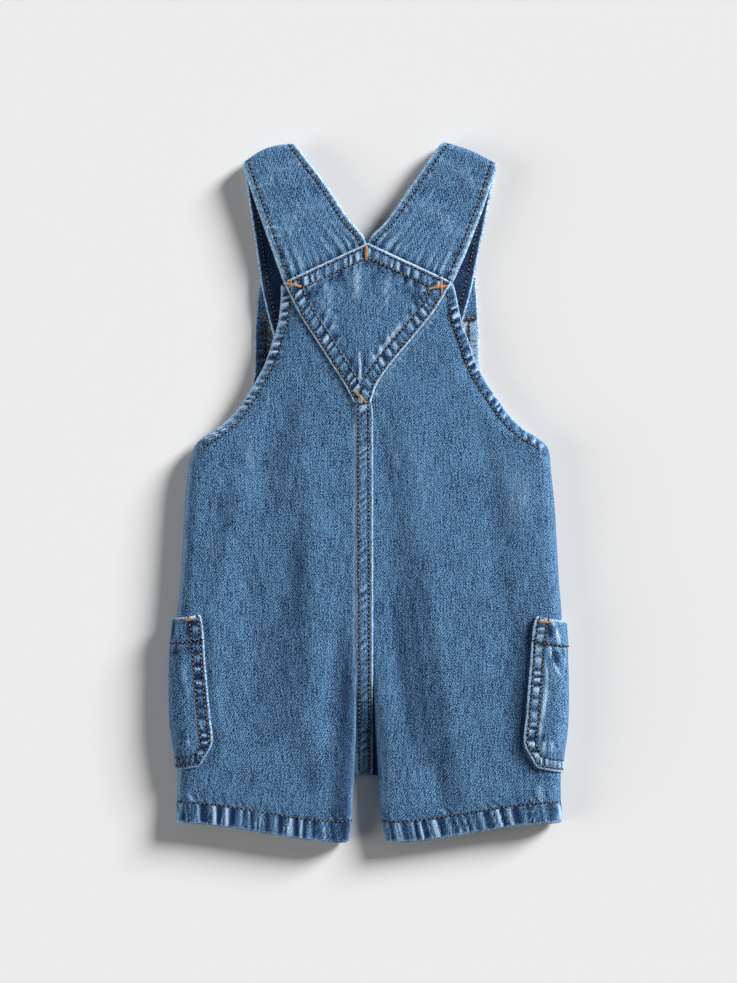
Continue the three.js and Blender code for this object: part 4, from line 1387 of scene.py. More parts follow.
@dataclass
class Back:
    """The two back panels with their seams: centre back, armholes and leg hems."""

    wardrobe: Wardrobe
    seam_rows: tuple[tuple[float, float], ...] = ((-7.1, -6.1), (0.0, 1.07))
    side_turn: tuple[float, ...] = (0, 0.2, 0.4, 0.6, 0.8, 1, 1.5, 1.9, 2, 2.25, 2.5, 2.75, 3)
    open_cells: int = 77
    strip_cells: dict[Side, int] = field(default_factory=lambda: {Side.LEFT: 12, Side.RIGHT: 2})

    def columns(self, side: Side, y: Array) -> Array:
        """The plan positions of all columns.

        Args:
            side: left or right.
            y: the rows.

        Returns:
            Rows by columns of x.
        """
        section = Layers.back_section(side, y)
        strip = np.linspace(0, 1, self.strip_cells[side] + 1)[:-1]
        turn = np.linspace(0, math.pi / 2, 9)
        seam = mix(section["inner"][:, None], section["fold"][:, None], strip[None, :])
        fold = side.sign * section["inner_reach"][:, None] * (1 - np.cos(turn))[None, :]
        inner = section["fold"][:, None] + fold
        insets = Layers.side_insets(y, section["side_reach"], np.array(self.side_turn))
        outer = section["outer"][:, None] - side.sign * insets
        between = mix(inner[:, -1:], outer[:, :1], np.linspace(0, 1, self.open_cells + 1)[None, 1:-1])
        return np.concatenate([seam, inner, between, outer], axis=1)

    def rows(self) -> Array:
        """The rows from the yoke to the leg bottom, close together where seams lie.

        Returns:
            Their y.
        """
        return np.concatenate([
            np.arange(140, 28, -1.3),
            np.arange(28, CUT.crotch, -1.75),
            np.arange(CUT.crotch, CUT.leg_bottom + CUT.hem + 3, -1.5),
            np.linspace(CUT.leg_bottom + CUT.hem + 3, CUT.leg_bottom, 17),
        ])

    def wall(self, side: Side) -> Wall:
        """The panel's cloth with its seams.

        Args:
            side: left or right.

        Returns:
            The cloth.
        """
        rows = self.rows()
        start = self.columns(side, rows)
        sleeve = 0.6 * smooth(100, 140, rows)[:, None] * (np.abs(start) - 50)
        slant = np.clip((CUT.slant_start - rows) / (CUT.slant_start - CUT.leg_bottom), 0, 1)[:, None]
        y = rows[:, None] + sleeve + slant * Layers.bottom_lift(start)
        x = np.stack([self.columns(side, y[:, k])[:, k] for k in range(start.shape[1])], axis=1)
        wall = Wall.in_plan(x, y, Layers.back(side, x, y), -side.sign)
        wall.present[rows[:-1] <= CUT.crotch, :self.strip_cells[side]] = False
        if side is Side.LEFT:
            self.raise_strip(wall)
        self.raise_hems(wall, side)
        self.press_seams(wall, side)
        self.sink_and_shade_beside_pocket(wall, side)
        self.shade_inner_fold(wall, side)
        # The soft folds' ridges pale, worn and painted light, and their troughs darken with painted shade;
        # the right panel is paler towards the top; the mottle is random tone.
        folds = sum(soft.height(x, y) for soft in LARGE_FOLDS)
        upper = (0.1 if side is Side.RIGHT else 0.0) * smooth(-120, 0, y)
        wall.add(0.0, 0.1 * folds + upper + 0.12 * mottle(x, 0.3 * y, 13.0, 3.0 + side.sign))
        wall.calm_folds()
        wall.unroll()
        return wall

    @staticmethod
    def shade_inner_fold(wall: Wall, side: Side) -> None:
        """Paints shade on the left fold beside the centre seam and light on the right fold, and paints shadow
        in the slit between them.

        Args:
            wall: the panel's cloth.
            side: left or right.
        """
        x, y = wall.places
        fold = side.sign * (x - INNER_FOLD.at(side.value, np.minimum(y, CUT.waist)))
        low = smooth(-100, -150, y)
        slit_shadow = smooth(0.4, -0.6, fold) * smooth(-120, -150, y) if side is Side.RIGHT else 0.0
        middle, width, worn_and_painted = (5.0, 6.0, -0.6) if side is Side.LEFT else (4.0, 3.0, 0.3)
        # Painted shade on the left fold, painted light on the right one, and a painted shadow in the right
        # slit.
        wall.add(0.0, worn_and_painted * bell(fold - middle, width) * low - 1.2 * slit_shadow)

    @staticmethod
    def sink_and_shade_beside_pocket(wall: Wall, side: Side) -> None:
        """Lets the cloth sink along the pocket's inner edge, and paints the pocket's shadow there.

        Args:
            wall: the panel's cloth.
            side: left or right.
        """
        x, y = wall.places
        drop = POCKETS[side].top - y
        away = side.sign * (POCKET_EDGE.at(side.value, drop) - x)
        wide, dark = (9, -0.3) if side is Side.LEFT else (17, -0.6)
        near = smooth(-1, 1.5, away) * smooth(wide, 2, away) * smooth(-6, 4, drop) * smooth(118, 96, drop)
        # The darkening is a painted shadow of the pocket, widest on the right.
        wall.add(-0.5 * near, dark * near)

    def raise_strip(self, wall: Wall) -> None:
        """Raises the felled centre seam, with pale worn and highlighted edges, and painted shade where it
        sinks between the legs.

        Args:
            wall: the panel's cloth.
        """
        x, y = wall.places
        fold = INNER_FOLD.at("left", np.minimum(y, CUT.waist))
        low = smooth(CUT.crotch, CUT.crotch + 30, y) * smooth(66, 58, y)
        strip = smooth(0, 1.2, x - fold + 0.6)
        sunk_and_shaded = smooth(-132, -150, y)
        edges = 0.55 * bell(x - fold + 0.6, mix(1.7, 0.7, sunk_and_shaded)) + 0.6 * bell(x - CUT.centre, 0.6)
        upper = 0.9 * smooth(48, 61, y) * (y < 62.6)
        # Painted shade where the strip sinks between the legs, paler towards its bottom.
        inner = mix(0.22, -0.1, sunk_and_shaded) + 0.75 * smooth(-168, -190, y) + 0.4 * mottle(2.0 * x, y, 8.0, 1.0)
        wall.add((CUT.strip_raise + upper) * strip * low, (edges + inner * strip) * (y < 62))

    def raise_hems(self, wall: Wall, side: Side) -> None:
        """Raises the armhole's and the leg's hems, with worn and highlighted edges, painted light on the left
        armhole and side, and painted shade on the right armhole hem.

        Args:
            wall: the cloth.
            side: left or right.
        """
        x, y = wall.places
        run, away = locate(edge_line(side, BACK_EDGE, 152, 33, 0), x, y)
        inset = np.abs(away)
        armhole = smooth(CUT.armhole_start, CUT.armhole_full, y) * smooth(137, 125, y)
        hem = smooth(CUT.armhole_hem + 0.8, CUT.armhole_hem - 0.4, inset) * armhole
        # The left armhole hem is painted light and the right one painted shade.
        shade, pale = (0.25, 0.45) if side is Side.LEFT else (-0.2, 0.1)
        above = smooth(CUT.armhole_start, CUT.armhole_full, y) * smooth(150, 146, y)
        patchy = 0.8 + 0.4 * uneven_wave(run, 8.3, 4.0 + side.sign)
        # Pale edge lines, worn and painted highlight.
        worn_and_painted = patchy * bell(inset, 0.8) + pale * bell(inset - 1.2, 1.3)
        worn_and_painted = worn_and_painted + shade * smooth(CUT.armhole_hem + 0.8, CUT.armhole_hem - 0.4, inset)
        wall.add(CUT.armhole_raise * hem, worn_and_painted * above)
        # The side fold is paler, worn and painted light, most on the left.
        side_worn_and_lit = 0.45 * bell(side.sign * (BACK_EDGE.at(side.value, y) - x) - 1.0, 2.5) * smooth(36, 26, y)
        wall.add(0.0, side_worn_and_lit if side is Side.LEFT else 0.3 * side_worn_and_lit)
        rise = y - CUT.leg_bottom - Layers.bottom_lift(x)
        leg = smooth(CUT.hem + 1.8, CUT.hem + 0.4, rise)
        wall.add(CUT.hem_proud * leg, 0.6 * bell(rise, 1.2) * leg)

    def press_seams(self, wall: Wall, side: Side) -> None:
        """Presses the stitched rows, the creases and the bands of painted light and shade of one panel.

        Args:
            wall: the cloth.
            side: left or right.
        """
        sign = side.sign
        armhole = (
            Ripples(-4.9, -0.9, 5.8, 0.40, 1.9, 0.3, 0.8, 1.0 + sign),
            Ripples(0.6, 3.4, 5.8, 0.14, 0.35, 0.5, 1.6, 1.0 + sign),
        )
        leg = (
            Ripples(0.7, 13.4, 8.9, 0.55, 1.4, 0.1, 0.9, 2.0 + sign),
            Ripples(0.7, 13.4, 4.1, 0.18, 0.8, 0.2, 0.9, 4.0 + sign),
            Ripples(-6.5, -0.6, 5.6, 0.3, 0.7, 0.8, 3.0, 3.0 + sign),
        )
        wall.press(
            Seam(self.inwards(edge_line(side, BACK_EDGE, 140, 33, 6.2), side), armhole),
            Seam(self.inwards(hem_line(side, CUT.hem), side), leg),
            *(Crease(*row) for row in CREASES[side]),
            *(Shade(*row) for row in SHADES[side]),
        )
        if side is Side.LEFT:
            between = Ripples(0.9, 6.2, 5.6, 0.2, 0.7, 0.7, 0.7, 3.0)
            for (top, bottom), ripples in zip(self.seam_rows, ((), (between,))):
                wall.press(Seam(np.array([[bottom, CUT.crotch], [top, 60]]), ripples))
        under_yoke = Ripples(0.5, 4.0, 6.0, 0.2, 0.35, 0.0, 2.0, 5.0)
        line = edge_line(side, YOKE_EDGE, 149, 66, -1.2)
        wall.press(Seam(line, (under_yoke,), 0.1, True))
        # A pale band of painted light beside the yoke's edge.
        _, beside = locate(line, *wall.places)
        wall.add(0.0, 0.35 * bell(np.abs(beside) - 1.0, 1.6))

    @staticmethod
    def inwards(line: Array, side: Side) -> Array:
        """Turns a line round where needed, so that the panel's middle is on its left."""
        return line if side is Side.LEFT else line[::-1]

    def build(self, stitcher: Stitcher) -> None:
        """Builds and dresses both panels.

        Args:
            stitcher: what sews the rows.
        """
        for side in Side:
            wall = self.wall(side)
            x, y = wall.places
            rise = y - CUT.leg_bottom - Layers.bottom_lift(x)
            thick = mix(CUT.denim, CUT.hem_cloth, smooth(CUT.hem + 1.8, CUT.hem + 0.4, rise))
            piece = wall.build(f"back_panel_{side.value}", thick, [self.wardrobe.denim, self.wardrobe.inside])
            dress(piece, (f"back_{side.value}", f"hem_back_{side.value}"))
            stitcher.sew(piece, edge_line(side, BACK_EDGE, 143, 33.5, 6.2))
            stitcher.sew(piece, hem_line(side, CUT.hem))
            if side is Side.LEFT:
                for top, bottom in self.seam_rows:
                    stitcher.sew(piece, np.array([[top, 63], [bottom, CUT.crotch + 1]]))


# Each row: x and y of the start, x and y of the end, width, rise and, where it is not 0.1, wear and painted
# shading
CREASES = {
    Side.LEFT: (
        (-60, 118, -34, 66, 4.6, -0.3), (-52, 104, -22, 52, 4.4, 0.25), (-104, 30, -78, 2, 4.6, -0.5),
        (-114, 22, -96, -22, 4.2, 0.4), (-48, 14, -50, -104, 6.5, -0.5, 0.5),
        (-24, -70, -34, -150, 3.6, 0.4), (-16, -110, -20, -190, 2.8, -0.6, 0.3),
        (-58, -60, -62, -150, 4.6, 0.4), (-108, -120, -104, -196, 3.8, 0.4),
        (-60, -196, -56, -232, 3.8, 0.5), (-44, -190, -38, -234, 3.4, -0.5, 0.3),
        (-84, -196, -88, -228, 3.6, -0.5, 0.3), (-118, -204, -112, -226, 3.0, 0.5),
    ),
    Side.RIGHT: (
        (60, 112, 30, 62, 4.6, -0.3), (50, 98, 18, 54, 4.4, 0.25), (82, 52, 100, -44, 5.5, -0.5, 0.4),
        (112, 20, 104, -24, 4.4, 0.5), (10, 60, 16, 0, 4.0, -0.3, 0.6),
        (12, -84, 18, -170, 3.0, 0.6, 0.4), (62, -50, 68, -150, 4.6, 0.4),
        (96, -50, 104, -130, 4.2, -0.6, 0.3), (86, -150, 92, -226, 4.2, 0.4),
        (46, -180, 58, -234, 3.8, -0.5, 0.3), (30, -190, 36, -236, 3.4, 0.4),
        (120, -206, 124, -228, 3.6, 0.9, 0.5),
    ),
}


# Each row: x and y of the start, x and y of the end, width, and the strength of painted light, negative for
# painted shade
SHADES = {
    Side.LEFT: (
        (-54, -20, -43, -170, 8.0, -0.30), (-95, 22, -109, -70, 5.0, -0.30),
        (-88, 70, -80, -26, 7.0, 0.18), (-74, -14, -66, -100, 6.0, 0.2),
        (-60, -66, -58, -168, 5.0, -0.26), (-54, 84, -50, 16, 6.0, -0.2),
        (-95, -40, -84, -150, 5.0, 0.16), (-112, -90, -104, -200, 4.0, 0.14),
        (-60, -150, -30, -215, 9.0, -0.22),
    ),
    Side.RIGHT: (
        (32, -20, 62, -225, 5.5, -0.38), (28, -56, 45, -184, 3.2, -0.35),
        (74, 56, 112, -26, 15.0, 0.12), (98, -64, 98, -122, 6.0, 0.3), (11, 60, 23, 8, 3.0, 0.25),
        (84, -10, 86, -180, 5.0, 0.14), (18, -60, 34, -200, 4.0, -0.25), (66, 76, 92, 10, 9.0, 0.12),
        (40, -190, 52, -226, 5.0, 0.2),
    ),
}


@dataclass
class Front:
    """The two front panels with the bib, which lie underneath, and the bib's facing."""

    wardrobe: Wardrobe
    bib_top: float = 155.0
    facing_top: float = 154.6
    facing_bottom: float = 123.0
    facing_cloth: float = 1.0
    facing_clearance: float = 0.4
    facing_inset: float = 0.6
    facing_left: float = -78.0
    facing_right: float = 76.5
    low_row: float = 1.6
    high_row: float = 2.0
    seam_inset: float = 3.0
    strip_cells: int = 4
    open_cells: int = 45

    def columns(self, side: Side, y: Array) -> Array:
        """The plan positions of all columns.

        Args:
            side: left or right.
            y: the rows.

        Returns:
            Rows by columns of x.
        """
        fold = INNER_FOLD.at(side.value, y)[:, None]
        turn = np.linspace(0, math.pi / 2, 7)[None, :]
        strip = np.linspace(0, 1, self.strip_cells + 1)[None, :-1]
        seam = mix(side.sign * CUT.gap / 2, fold, strip)
        inner = fold + side.sign * CUT.inner_fold * (1 - np.cos(turn))
        insets = Layers.side_insets(y, np.full(len(y), CUT.front_fold), np.linspace(0, 3, 13))
        outer = Layers.front_outer(side, y)[:, None] - side.sign * insets
        between = mix(inner[:, -1:], outer[:, :1], np.linspace(0, 1, self.open_cells + 1)[None, 1:-1])
        return np.concatenate([seam, inner, between, outer], axis=1)

    def wall(self, side: Side) -> Wall:
        """One front panel.

        Args:
            side: left or right.

        Returns:
            The cloth.
        """
        rows = np.concatenate([
            np.linspace(self.bib_top, 28, 76),
            np.linspace(28, CUT.crotch, 80)[1:],
            np.linspace(CUT.crotch, CUT.leg_bottom, 30)[1:],
        ])
        start = self.columns(side, rows)
        slant = np.clip((CUT.slant_start - rows) / (CUT.slant_start - CUT.leg_bottom), 0, 1)[:, None]
        y = rows[:, None] + slant * Layers.bottom_lift(start)
        x = np.stack([self.columns(side, y[:, k])[:, k] for k in range(start.shape[1])], axis=1)
        wall = Wall.in_plan(x, y, Layers.front(side, x, y), side.sign)
        wall.present[rows[:-1] <= CUT.crotch, :self.strip_cells] = False
        seam_x = side.sign * self.seam_inset
        marks = (
            Seam(edge_line(side, BIB_EDGE, 154, 34, 6.2), (Ripples(0.6, 5.0, 5.8, 0.3, 0.8, seed=1.5),),
                 0.25, True),
            Seam(hem_line(side, CUT.hem), (Ripples(0.6, 12.0, 8.9, 0.3, 0.9, seed=2.5),), 0.25, True),
            Seam(np.array([[seam_x, 154], [seam_x, CUT.crotch]]), (), 0.25),
        )
        flat_side = Relief(np.zeros(x.shape), np.zeros(x.shape))
        for mark in marks:
            mark.press(flat_side, x, y)
        wall.add(np.minimum(flat_side.height, 0.0), flat_side.wear_and_shading)
        wall.calm_folds()
        # The bib's upper sides: painted shade on the left and painted light on the right.
        wall.add(0.0, (-0.3 if side is Side.LEFT else 0.8) * smooth(30, 50, y))
        wall.unroll()
        return wall

    def build(self, stitcher: Stitcher, inside: Stitcher) -> None:
        """Builds and dresses both panels and the facing.

        Args:
            stitcher: what sews the rows.
            inside: what sews the rows that show on the inside.
        """
        for side in Side:
            wall = self.wall(side)
            x, y = wall.places
            _, away = locate(edge_line(side, BIB_EDGE, 155, 33, 0), x, y)
            hemmed = smooth(CUT.armhole_hem + 0.8, CUT.armhole_hem - 0.2, np.abs(away))
            hemmed = hemmed * smooth(40, 48, y)
            folded = hemmed * (y < self.facing_bottom + 1)
            hemmed = hemmed * smooth(self.facing_bottom - 1, self.facing_bottom - 4, y)
            rise = y - CUT.leg_bottom - Layers.bottom_lift(x)
            seam_height = CUT.inseam - CUT.gap
            off_seam = smooth(0, 6, np.abs(wall.points[..., 2] - seam_height))
            leg = smooth(CUT.hem + 1.8, CUT.hem + 0.4, rise) * off_seam
            thick = CUT.denim + CUT.armhole_raise * hemmed + (CUT.hem_cloth - CUT.denim) * leg
            wall.turned = (folded[:-1, :-1] > 0.5) | (rise[:-1, :-1] < CUT.hem)
            finishes = [self.wardrobe.denim, self.wardrobe.inside]
            piece = wall.build(f"front_panel_{side.value}", thick, finishes)
            dress(piece, (f"front_{side.value}", f"hem_front_{side.value}"))
            under = side.sign * self.seam_inset
            stitcher.sew(piece, edge_line(side, BIB_EDGE, 152, 34, 6.2), above=False)
            stitcher.sew(piece, hem_line(side, CUT.hem), above=False)
            stitcher.sew(piece, np.array([[under, 150], [under, CUT.crotch + 2]]), above=False)
            stitcher.sew(piece, edge_line(side, BIB_EDGE, self.facing_bottom - 2, 40, 6.0))
        self.build_facing(inside)

    def build_facing(self, inside: Stitcher) -> None:
        """Builds the band that faces the inside of the bib's top.

        Args:
            inside: what sews the rows that show on the inside.
        """
        y = np.linspace(self.facing_top, self.facing_bottom, 24)[:, None]
        share = np.linspace(0, 1, 110)[None, :]
        left, right = (Layers.front_outer(side, y) - side.sign * self.facing_inset for side in Side)
        x = mix(left, right, share)
        y = np.broadcast_to(y, x.shape)
        base = np.where(x < 0, Layers.front(Side.LEFT, x, y), Layers.front(Side.RIGHT, x, y))
        z = base + CUT.denim + self.facing_clearance + self.facing_cloth
        wall = Wall.in_plan(x, y, z, -1)
        rows = [
            np.array([[self.facing_left, level], [self.facing_right, level]])
            for level in (self.facing_bottom + self.low_row, self.facing_top - self.high_row)
        ]
        for k, line in enumerate(rows):
            wall.press(Seam(line, (Ripples(0.4, 3.0, 6.0, 0.16, 0.4, seed=4.0 + k),), 0.25, True))
        piece = wall.build("bib_facing_band", self.facing_cloth, [self.wardrobe.denim])
        dress(piece, ("bib_facing",))
        for line in rows:
            inside.sew(piece, line)


@dataclass
class Yoke:
    """The triangle over the straps' ends, with its gabled top and two rows along each edge."""

    wardrobe: Wardrobe
    shoulder: float = 149.0
    point: float = 63.0
    peak: float = 176.7
    meet: float = -3.6
    outer_rows: float = 5.0
    lap: float = 1.5
    puff: float = 1.2
    # Each: x, y, width and strength; the dark ones are pools of painted shade in the yoke, the last a pale
    # spot.
    painted_pools: tuple[tuple[float, float, float, float], ...] = (
        (-42.0, 138.5, 3.6, -0.8), (-36.5, 142.0, 2.6, -0.7), (34.0, 138.5, 3.8, -0.8),
        (29.0, 143.5, 2.4, -0.7), (-22.0, 151.0, 3.0, -0.4), (12.0, 153.0, 3.0, -0.4),
        (-10.0, 93.0, 4.0, -0.4), (40.6, 143.6, 1.5, 0.9),
    )

    def edges(self, inset: float) -> list[Array]:
        """The lines beside its edges.

        Args:
            inset: how far inside the edge.

        Returns:
            The left arm, the right arm, the left and the right half of the gable.
        """
        left_x, right_x = YOKE_EDGE.at("left", self.shoulder), YOKE_EDGE.at("right", self.shoulder)
        middle = (left_x + right_x) / 2
        arms = []
        for side in Side:
            line = edge_line(side, YOKE_EDGE, self.shoulder, self.point, inset)
            limit = middle * side.sign - 1.5
            if inset > self.outer_rows:
                limit = self.meet * side.sign - 0.3
            inside = line[:, 0] * side.sign > limit
            arms.append(line[inside & (line[:, 1] > self.point + inset * 0.9)])
        gable = []
        for end, sign in ((left_x, -1), (right_x, 1)):
            slope = (self.peak - self.shoulder) / abs(middle - end)
            drop = inset * math.hypot(1, slope)
            start = end - sign * (inset * 1.2 + 1.0)
            gable.append(np.array([
                [start, self.shoulder + slope * abs(end - start) - drop],
                [middle, self.peak - drop],
            ]))
        return [*arms, *gable]

    def build(self, stitcher: Stitcher, tacks: "Tacks") -> None:
        """Builds and dresses the yoke.

        Args:
            stitcher: what sews the rows.
            tacks: what sews the bar tacks.
        """
        down = np.linspace(0, 1, 84)[:, None]
        share = np.linspace(0, 1, 100)[None, :]
        rows = mix(self.shoulder, self.point, down)
        left, right = YOKE_EDGE.at("left", rows), YOKE_EDGE.at("right", rows)
        x = mix(left, right, share)
        gable = (self.peak - self.shoulder) * (1 - down) ** 1.4
        y = rows + gable * (1 - np.abs(2 * share - 1))
        base = np.where(x < 0, Layers.back(Side.LEFT, x, y), Layers.back(Side.RIGHT, x, y))
        puff = self.puff * np.sin(math.pi * share) ** 2 * np.sin(math.pi * down)
        wall = Wall.in_plan(x, y, base + self.lap + puff, -1)
        edge_rows, inner_rows = self.edges(1.9), self.edges(9.3)
        located = [locate(line, x, y) for line in self.edges(0.0)]
        insets = np.abs(np.array([away for _, away in located]))
        inset = insets.min(axis=0)
        for k, (run, _) in enumerate(located):
            part = Relief(np.zeros(run.shape), np.zeros(run.shape))
            Ripples(2.8, 8.4, 6.2, 0.4, 1.6, 0.35, 0.8, 6.0 + k).press(part, run, insets[k])
            Ripples(10.4, 15.0, 7.4, 0.4, 0.9, 0.5, 2.6, 6.5 + k).press(part, run, insets[k])
            nearest = insets[k] <= inset
            band = (0.0, 0.0, 0.15, 0.15)[k] * smooth(2.0, 3.0, insets[k]) * smooth(9.2, 8.4, insets[k])
            wall.add(part.height * nearest, (part.wear_and_shading + band) * nearest)
        # Pale edge and row lines, worn and painted highlight.
        patchy = 0.75 + 0.4 * uneven_wave(y + 0.6 * x, 6.4, 3.0)
        worn_and_painted = patchy * (1.6 * bell(inset, 0.65) + 0.5 * bell(inset - 9.9, 0.8))
        wall.add(0.6 * smooth(10.4, 9.4, inset), worn_and_painted)
        # The edges are pressed down; the face is a little paler, with painted shade inside the inner rows.
        wall.add(-0.45 * smooth(2.0, 0.2, inset), 0.14 - 0.3 * bell(inset - 11.8, 1.7))
        wall.add(0.0, 0.34 * mottle(x, y, 8.5, 2.0))
        for pool_x, pool_y, width, wear_and_shading in self.painted_pools:
            wall.add(0.0, wear_and_shading * bell(np.hypot(x - pool_x, y - pool_y), width))
        for line in [*edge_rows, *inner_rows]:
            wall.press(Seam(line))
        wall.press(*(Crease(*row) for row in YOKE_CREASES))
        piece = wall.build("yoke_piece", CUT.denim, [self.wardrobe.denim, self.wardrobe.inside])
        dress(piece, ("yoke",))
        for line in [*edge_rows, *inner_rows]:
            stitcher.sew(piece, line)
        tacks.add(piece, (-0.8, 174.6), (-1.2, 164.4), 2.2)
        tacks.add(piece, (-58.4, 148.2), (-47.4, 146.0), 2.0)
        tacks.add(piece, (-54.4, 153.4), (-55.4, 147.2), 1.6)
        tacks.add(piece, (57.0, 146.4), (43.4, 144.6), 2.0)
        tacks.add(piece, (52.6, 150.4), (52.6, 141.6), 1.6)
        tacks.add(piece, (-9.3, 71.4), (0.2, 61.4), 2.0)


YOKE_CREASES = (
    (-32, 156, -26, 130, 2.4, 0.5, 0.8), (-19, 162, -16, 136, 2.0, -0.6, 0.8),
    (-7, 167, -9, 134, 2.2, 0.7, 0.9), (4, 168, 3, 138, 1.8, -0.6, 0.8),
    (14, 164, 12, 130, 2.2, 0.5, 0.8), (27, 158, 24, 136, 2.0, -0.5, 0.8),
    (-45, 144, -33, 151, 1.1, 0.5, 1.8), (-6.4, 102, -5.6, 77, 1.2, 0.6, 1.8),
    (-3.0, 99, -3.4, 83, 1.2, -0.5, 1.6), (-4.4, 84.5, 33, 131, 1.3, 0.5, 2.6),
    (2.5, 92, 12, 116, 1.8, -0.5, 0.8), (-12, 96, -22, 126, 2.4, -0.5, 0.6),
    (-38, 140, -20, 116, 3.0, 0.4, 0.5),
)


STRAP_BACK = {
    Side.LEFT: Table(
        "t outer_x outer_y inner_x inner_y",
        (0, -59.6, 149.2, -2.2, 177.0), (0.08, -61.6, 155.2, -4.4, 182.6),
        (0.3, -67.6, 172.6, -14.4, 194.4), (0.65, -77.8, 201.4, -29.0, 216.6),
        (1, -87.8, 230.6, -49.8, 244.2),
    ),
    Side.RIGHT: Table(
        "t outer_x outer_y inner_x inner_y",
        (0, 60.0, 148.8, 0.8, 177.0), (0.08, 62.2, 154.4, 3.6, 182.6), (0.3, 68.8, 169.6, 12.8, 191.4),
        (0.65, 80.2, 199.0, 31.0, 217.2), (1, 90.6, 229.4, 50.6, 245.6),
    ),
}
STRAP_FRONT = {
    Side.LEFT: Table(
        "t outer_x outer_y inner_x inner_y",
        (0, -87.8, 230.6, -49.8, 244.2), (0.35, -81.4, 188.4, -43.2, 197.8),
        (0.7, -74.2, 142.6, -36.4, 152.0), (1, -65.0, 104.4, -27.8, 113.6),
    ),
    Side.RIGHT: Table(
        "t outer_x outer_y inner_x inner_y",
        (0, 90.6, 229.4, 50.6, 245.6), (0.35, 82.0, 187.0, 44.2, 198.0),
        (0.7, 73.0, 144.8, 35.8, 155.0), (1, 62.2, 106.0, 25.8, 116.0),
    ),
}


@dataclass
class Straps:
    """Both straps of doubled cloth, from the yoke over the shoulder fold and down inside the bib."""

    wardrobe: Wardrobe
    cloth: float = 2.4
    tuck: float = 2.4
    fold_height: float = 11.0
    fold_base: float = 0.8
    bib_height: float = 3.1
    seam_y: float = 150.0
    bulge: dict[Side, float] = field(default_factory=lambda: {Side.LEFT: 3.6, Side.RIGHT: 1.6})
    row_inset: float = 4.0
    corner: float = 1.6
    first_row: int = 3
    fold_end: int = 90
    shoulder_y: float = 230.0
    inside_length: float = 126.0

    @staticmethod
    def ends(table: Table, t: float) -> tuple[Array, Array]:
        """Both ends of a row across the strap, outer and inner."""
        outer = np.array([table.at("outer_x", t), table.at("outer_y", t)])
        return outer, np.array([table.at("inner_x", t), table.at("inner_y", t)])

    def across(self, side: Side, ends: tuple[Array, Array], reach: float, bulged: float) -> Array:
        """One row in plan, moved towards the shoulder.

        Args:
            side: left or right.
            ends: its outer and inner end.
            reach: how far it is moved.
            bulged: the share of the shoulder's bulge that it has.

        Returns:
            The row's points.
        """
        share = np.linspace(0, 1, 40)
        outer, inner = self.ends(STRAP_BACK[side], 1)
        way = unit(inner - outer)
        out = np.array([-way[1], way[0]]) * np.sign(way[0])
        hump = self.bulge[side] * np.sin(math.pi * share)
        return mix(ends[0], ends[1], share[:, None]) + out * (reach + bulged * hump)[:, None]

    def grid(self, side: Side) -> Array:
        """The points of the right side.

        Args:
            side: left or right.

        Returns:
            Rows by columns by 3.
        """
        back, front = STRAP_BACK[side], STRAP_FRONT[side]
        outer, inner = self.ends(back, 1)
        radius = self.fold_height / 2
        rows = []
        base, after = self.ends(back, 0), self.ends(back, 0.04)
        for k in (1.0, 0.5):
            tucked = tuple(b - unit(n - b) * self.tuck * k for b, n in zip(base, after))
            plan = self.across(side, tucked, 0.0, 0.0)
            rows.append(np.column_stack([plan, Layers.back(side, plan[:, 0], plan[:, 1])]))
        top = self.fold_base + self.fold_height
        for t in np.linspace(0, 1, 74):
            plan = self.across(side, self.ends(back, t), 0.0, float(smooth(0.6, 1, t)))
            start = Layers.back(side, plan[:, 0], mix(plan[:, 1], self.seam_y, t))
            rows.append(np.column_stack([plan, mix(start, top, smooth(0.04, 1, t))]))
        for turn in np.linspace(0, math.pi, 16)[1:-1]:
            shift = unit(inner - outer) * self.corner * math.sin(turn)
            plan = self.across(side, (outer + shift * 0.6, inner - shift), radius * math.sin(turn), 1.0)
            height = self.fold_base + radius * (1 + math.cos(turn))
            rows.append(np.column_stack([plan, np.full(len(plan), height)]))
        for t in np.linspace(0, 1, 90):
            plan = self.across(side, self.ends(front, t), 0.0, float(smooth(0.4, 0, t)))
            lift = Layers.front_lift(side, plan[:, 0], plan[:, 1])
            rows.append(np.column_stack([plan, self.inside_level(t) + lift]))
        return np.stack(rows)

    def inside_level(self, t: float) -> float:
        """How high the strap lies inside the bib, at a share of its way down."""
        return mix(self.fold_base, self.bib_height, float(smooth(0.05, 0.5, t)))

    def build(self, stitcher: Stitcher) -> None:
        """Builds and dresses both straps.

        Args:
            stitcher: what sews the rows.
        """
        for side in Side:
            points = self.grid(side)
            width = travel(points)
            length = travel(points[:, points.shape[1] // 2])
            along = np.broadcast_to(length[:, None], width.shape)
            across = width - width[:, -1:] / 2
            flat = np.stack([across, along], axis=2)
            wall = Wall(points, flat, -side.sign)
            half = np.broadcast_to(width[:, -1:] / 2, width.shape)
            for edge in (-1, 1):
                inset = np.abs(across - edge * half)
                wave = uneven_wave(along + 0.3 * inset, 4.8, 8.0 + edge + side.sign) * bell(inset - 4, 3.2)
                # Pale edge lines, worn and painted highlight; the rows' grooves darken with painted shade.
                groove = bell(inset - self.row_inset, 0.9)
                worn_and_painted = (0.85 + 0.35 * uneven_wave(along, 7.5, edge + 2.0)) * bell(inset, 0.7)
                wall.add(0.2 * wave - 0.3 * groove, 0.55 * wave - 0.3 * groove + worn_and_painted)
            # The part inside the bib is painted dark: painted shadow of the part above it.
            front_part_shadow = smooth(110, 122, along) * smooth(-0.2, 1.4, half - np.abs(across))
            wall.add(0.0, 0.16 + 0.32 * mottle(across, along, 9.0, 5.0 + side.sign) - 1.0 * front_part_shadow)
            near = np.exp(-((along - self.tuck) / 15.0).clip(0))
            gather = uneven_wave(across + 0.15 * along * np.sign(across), 6.6, 9.0 + side.sign) * near
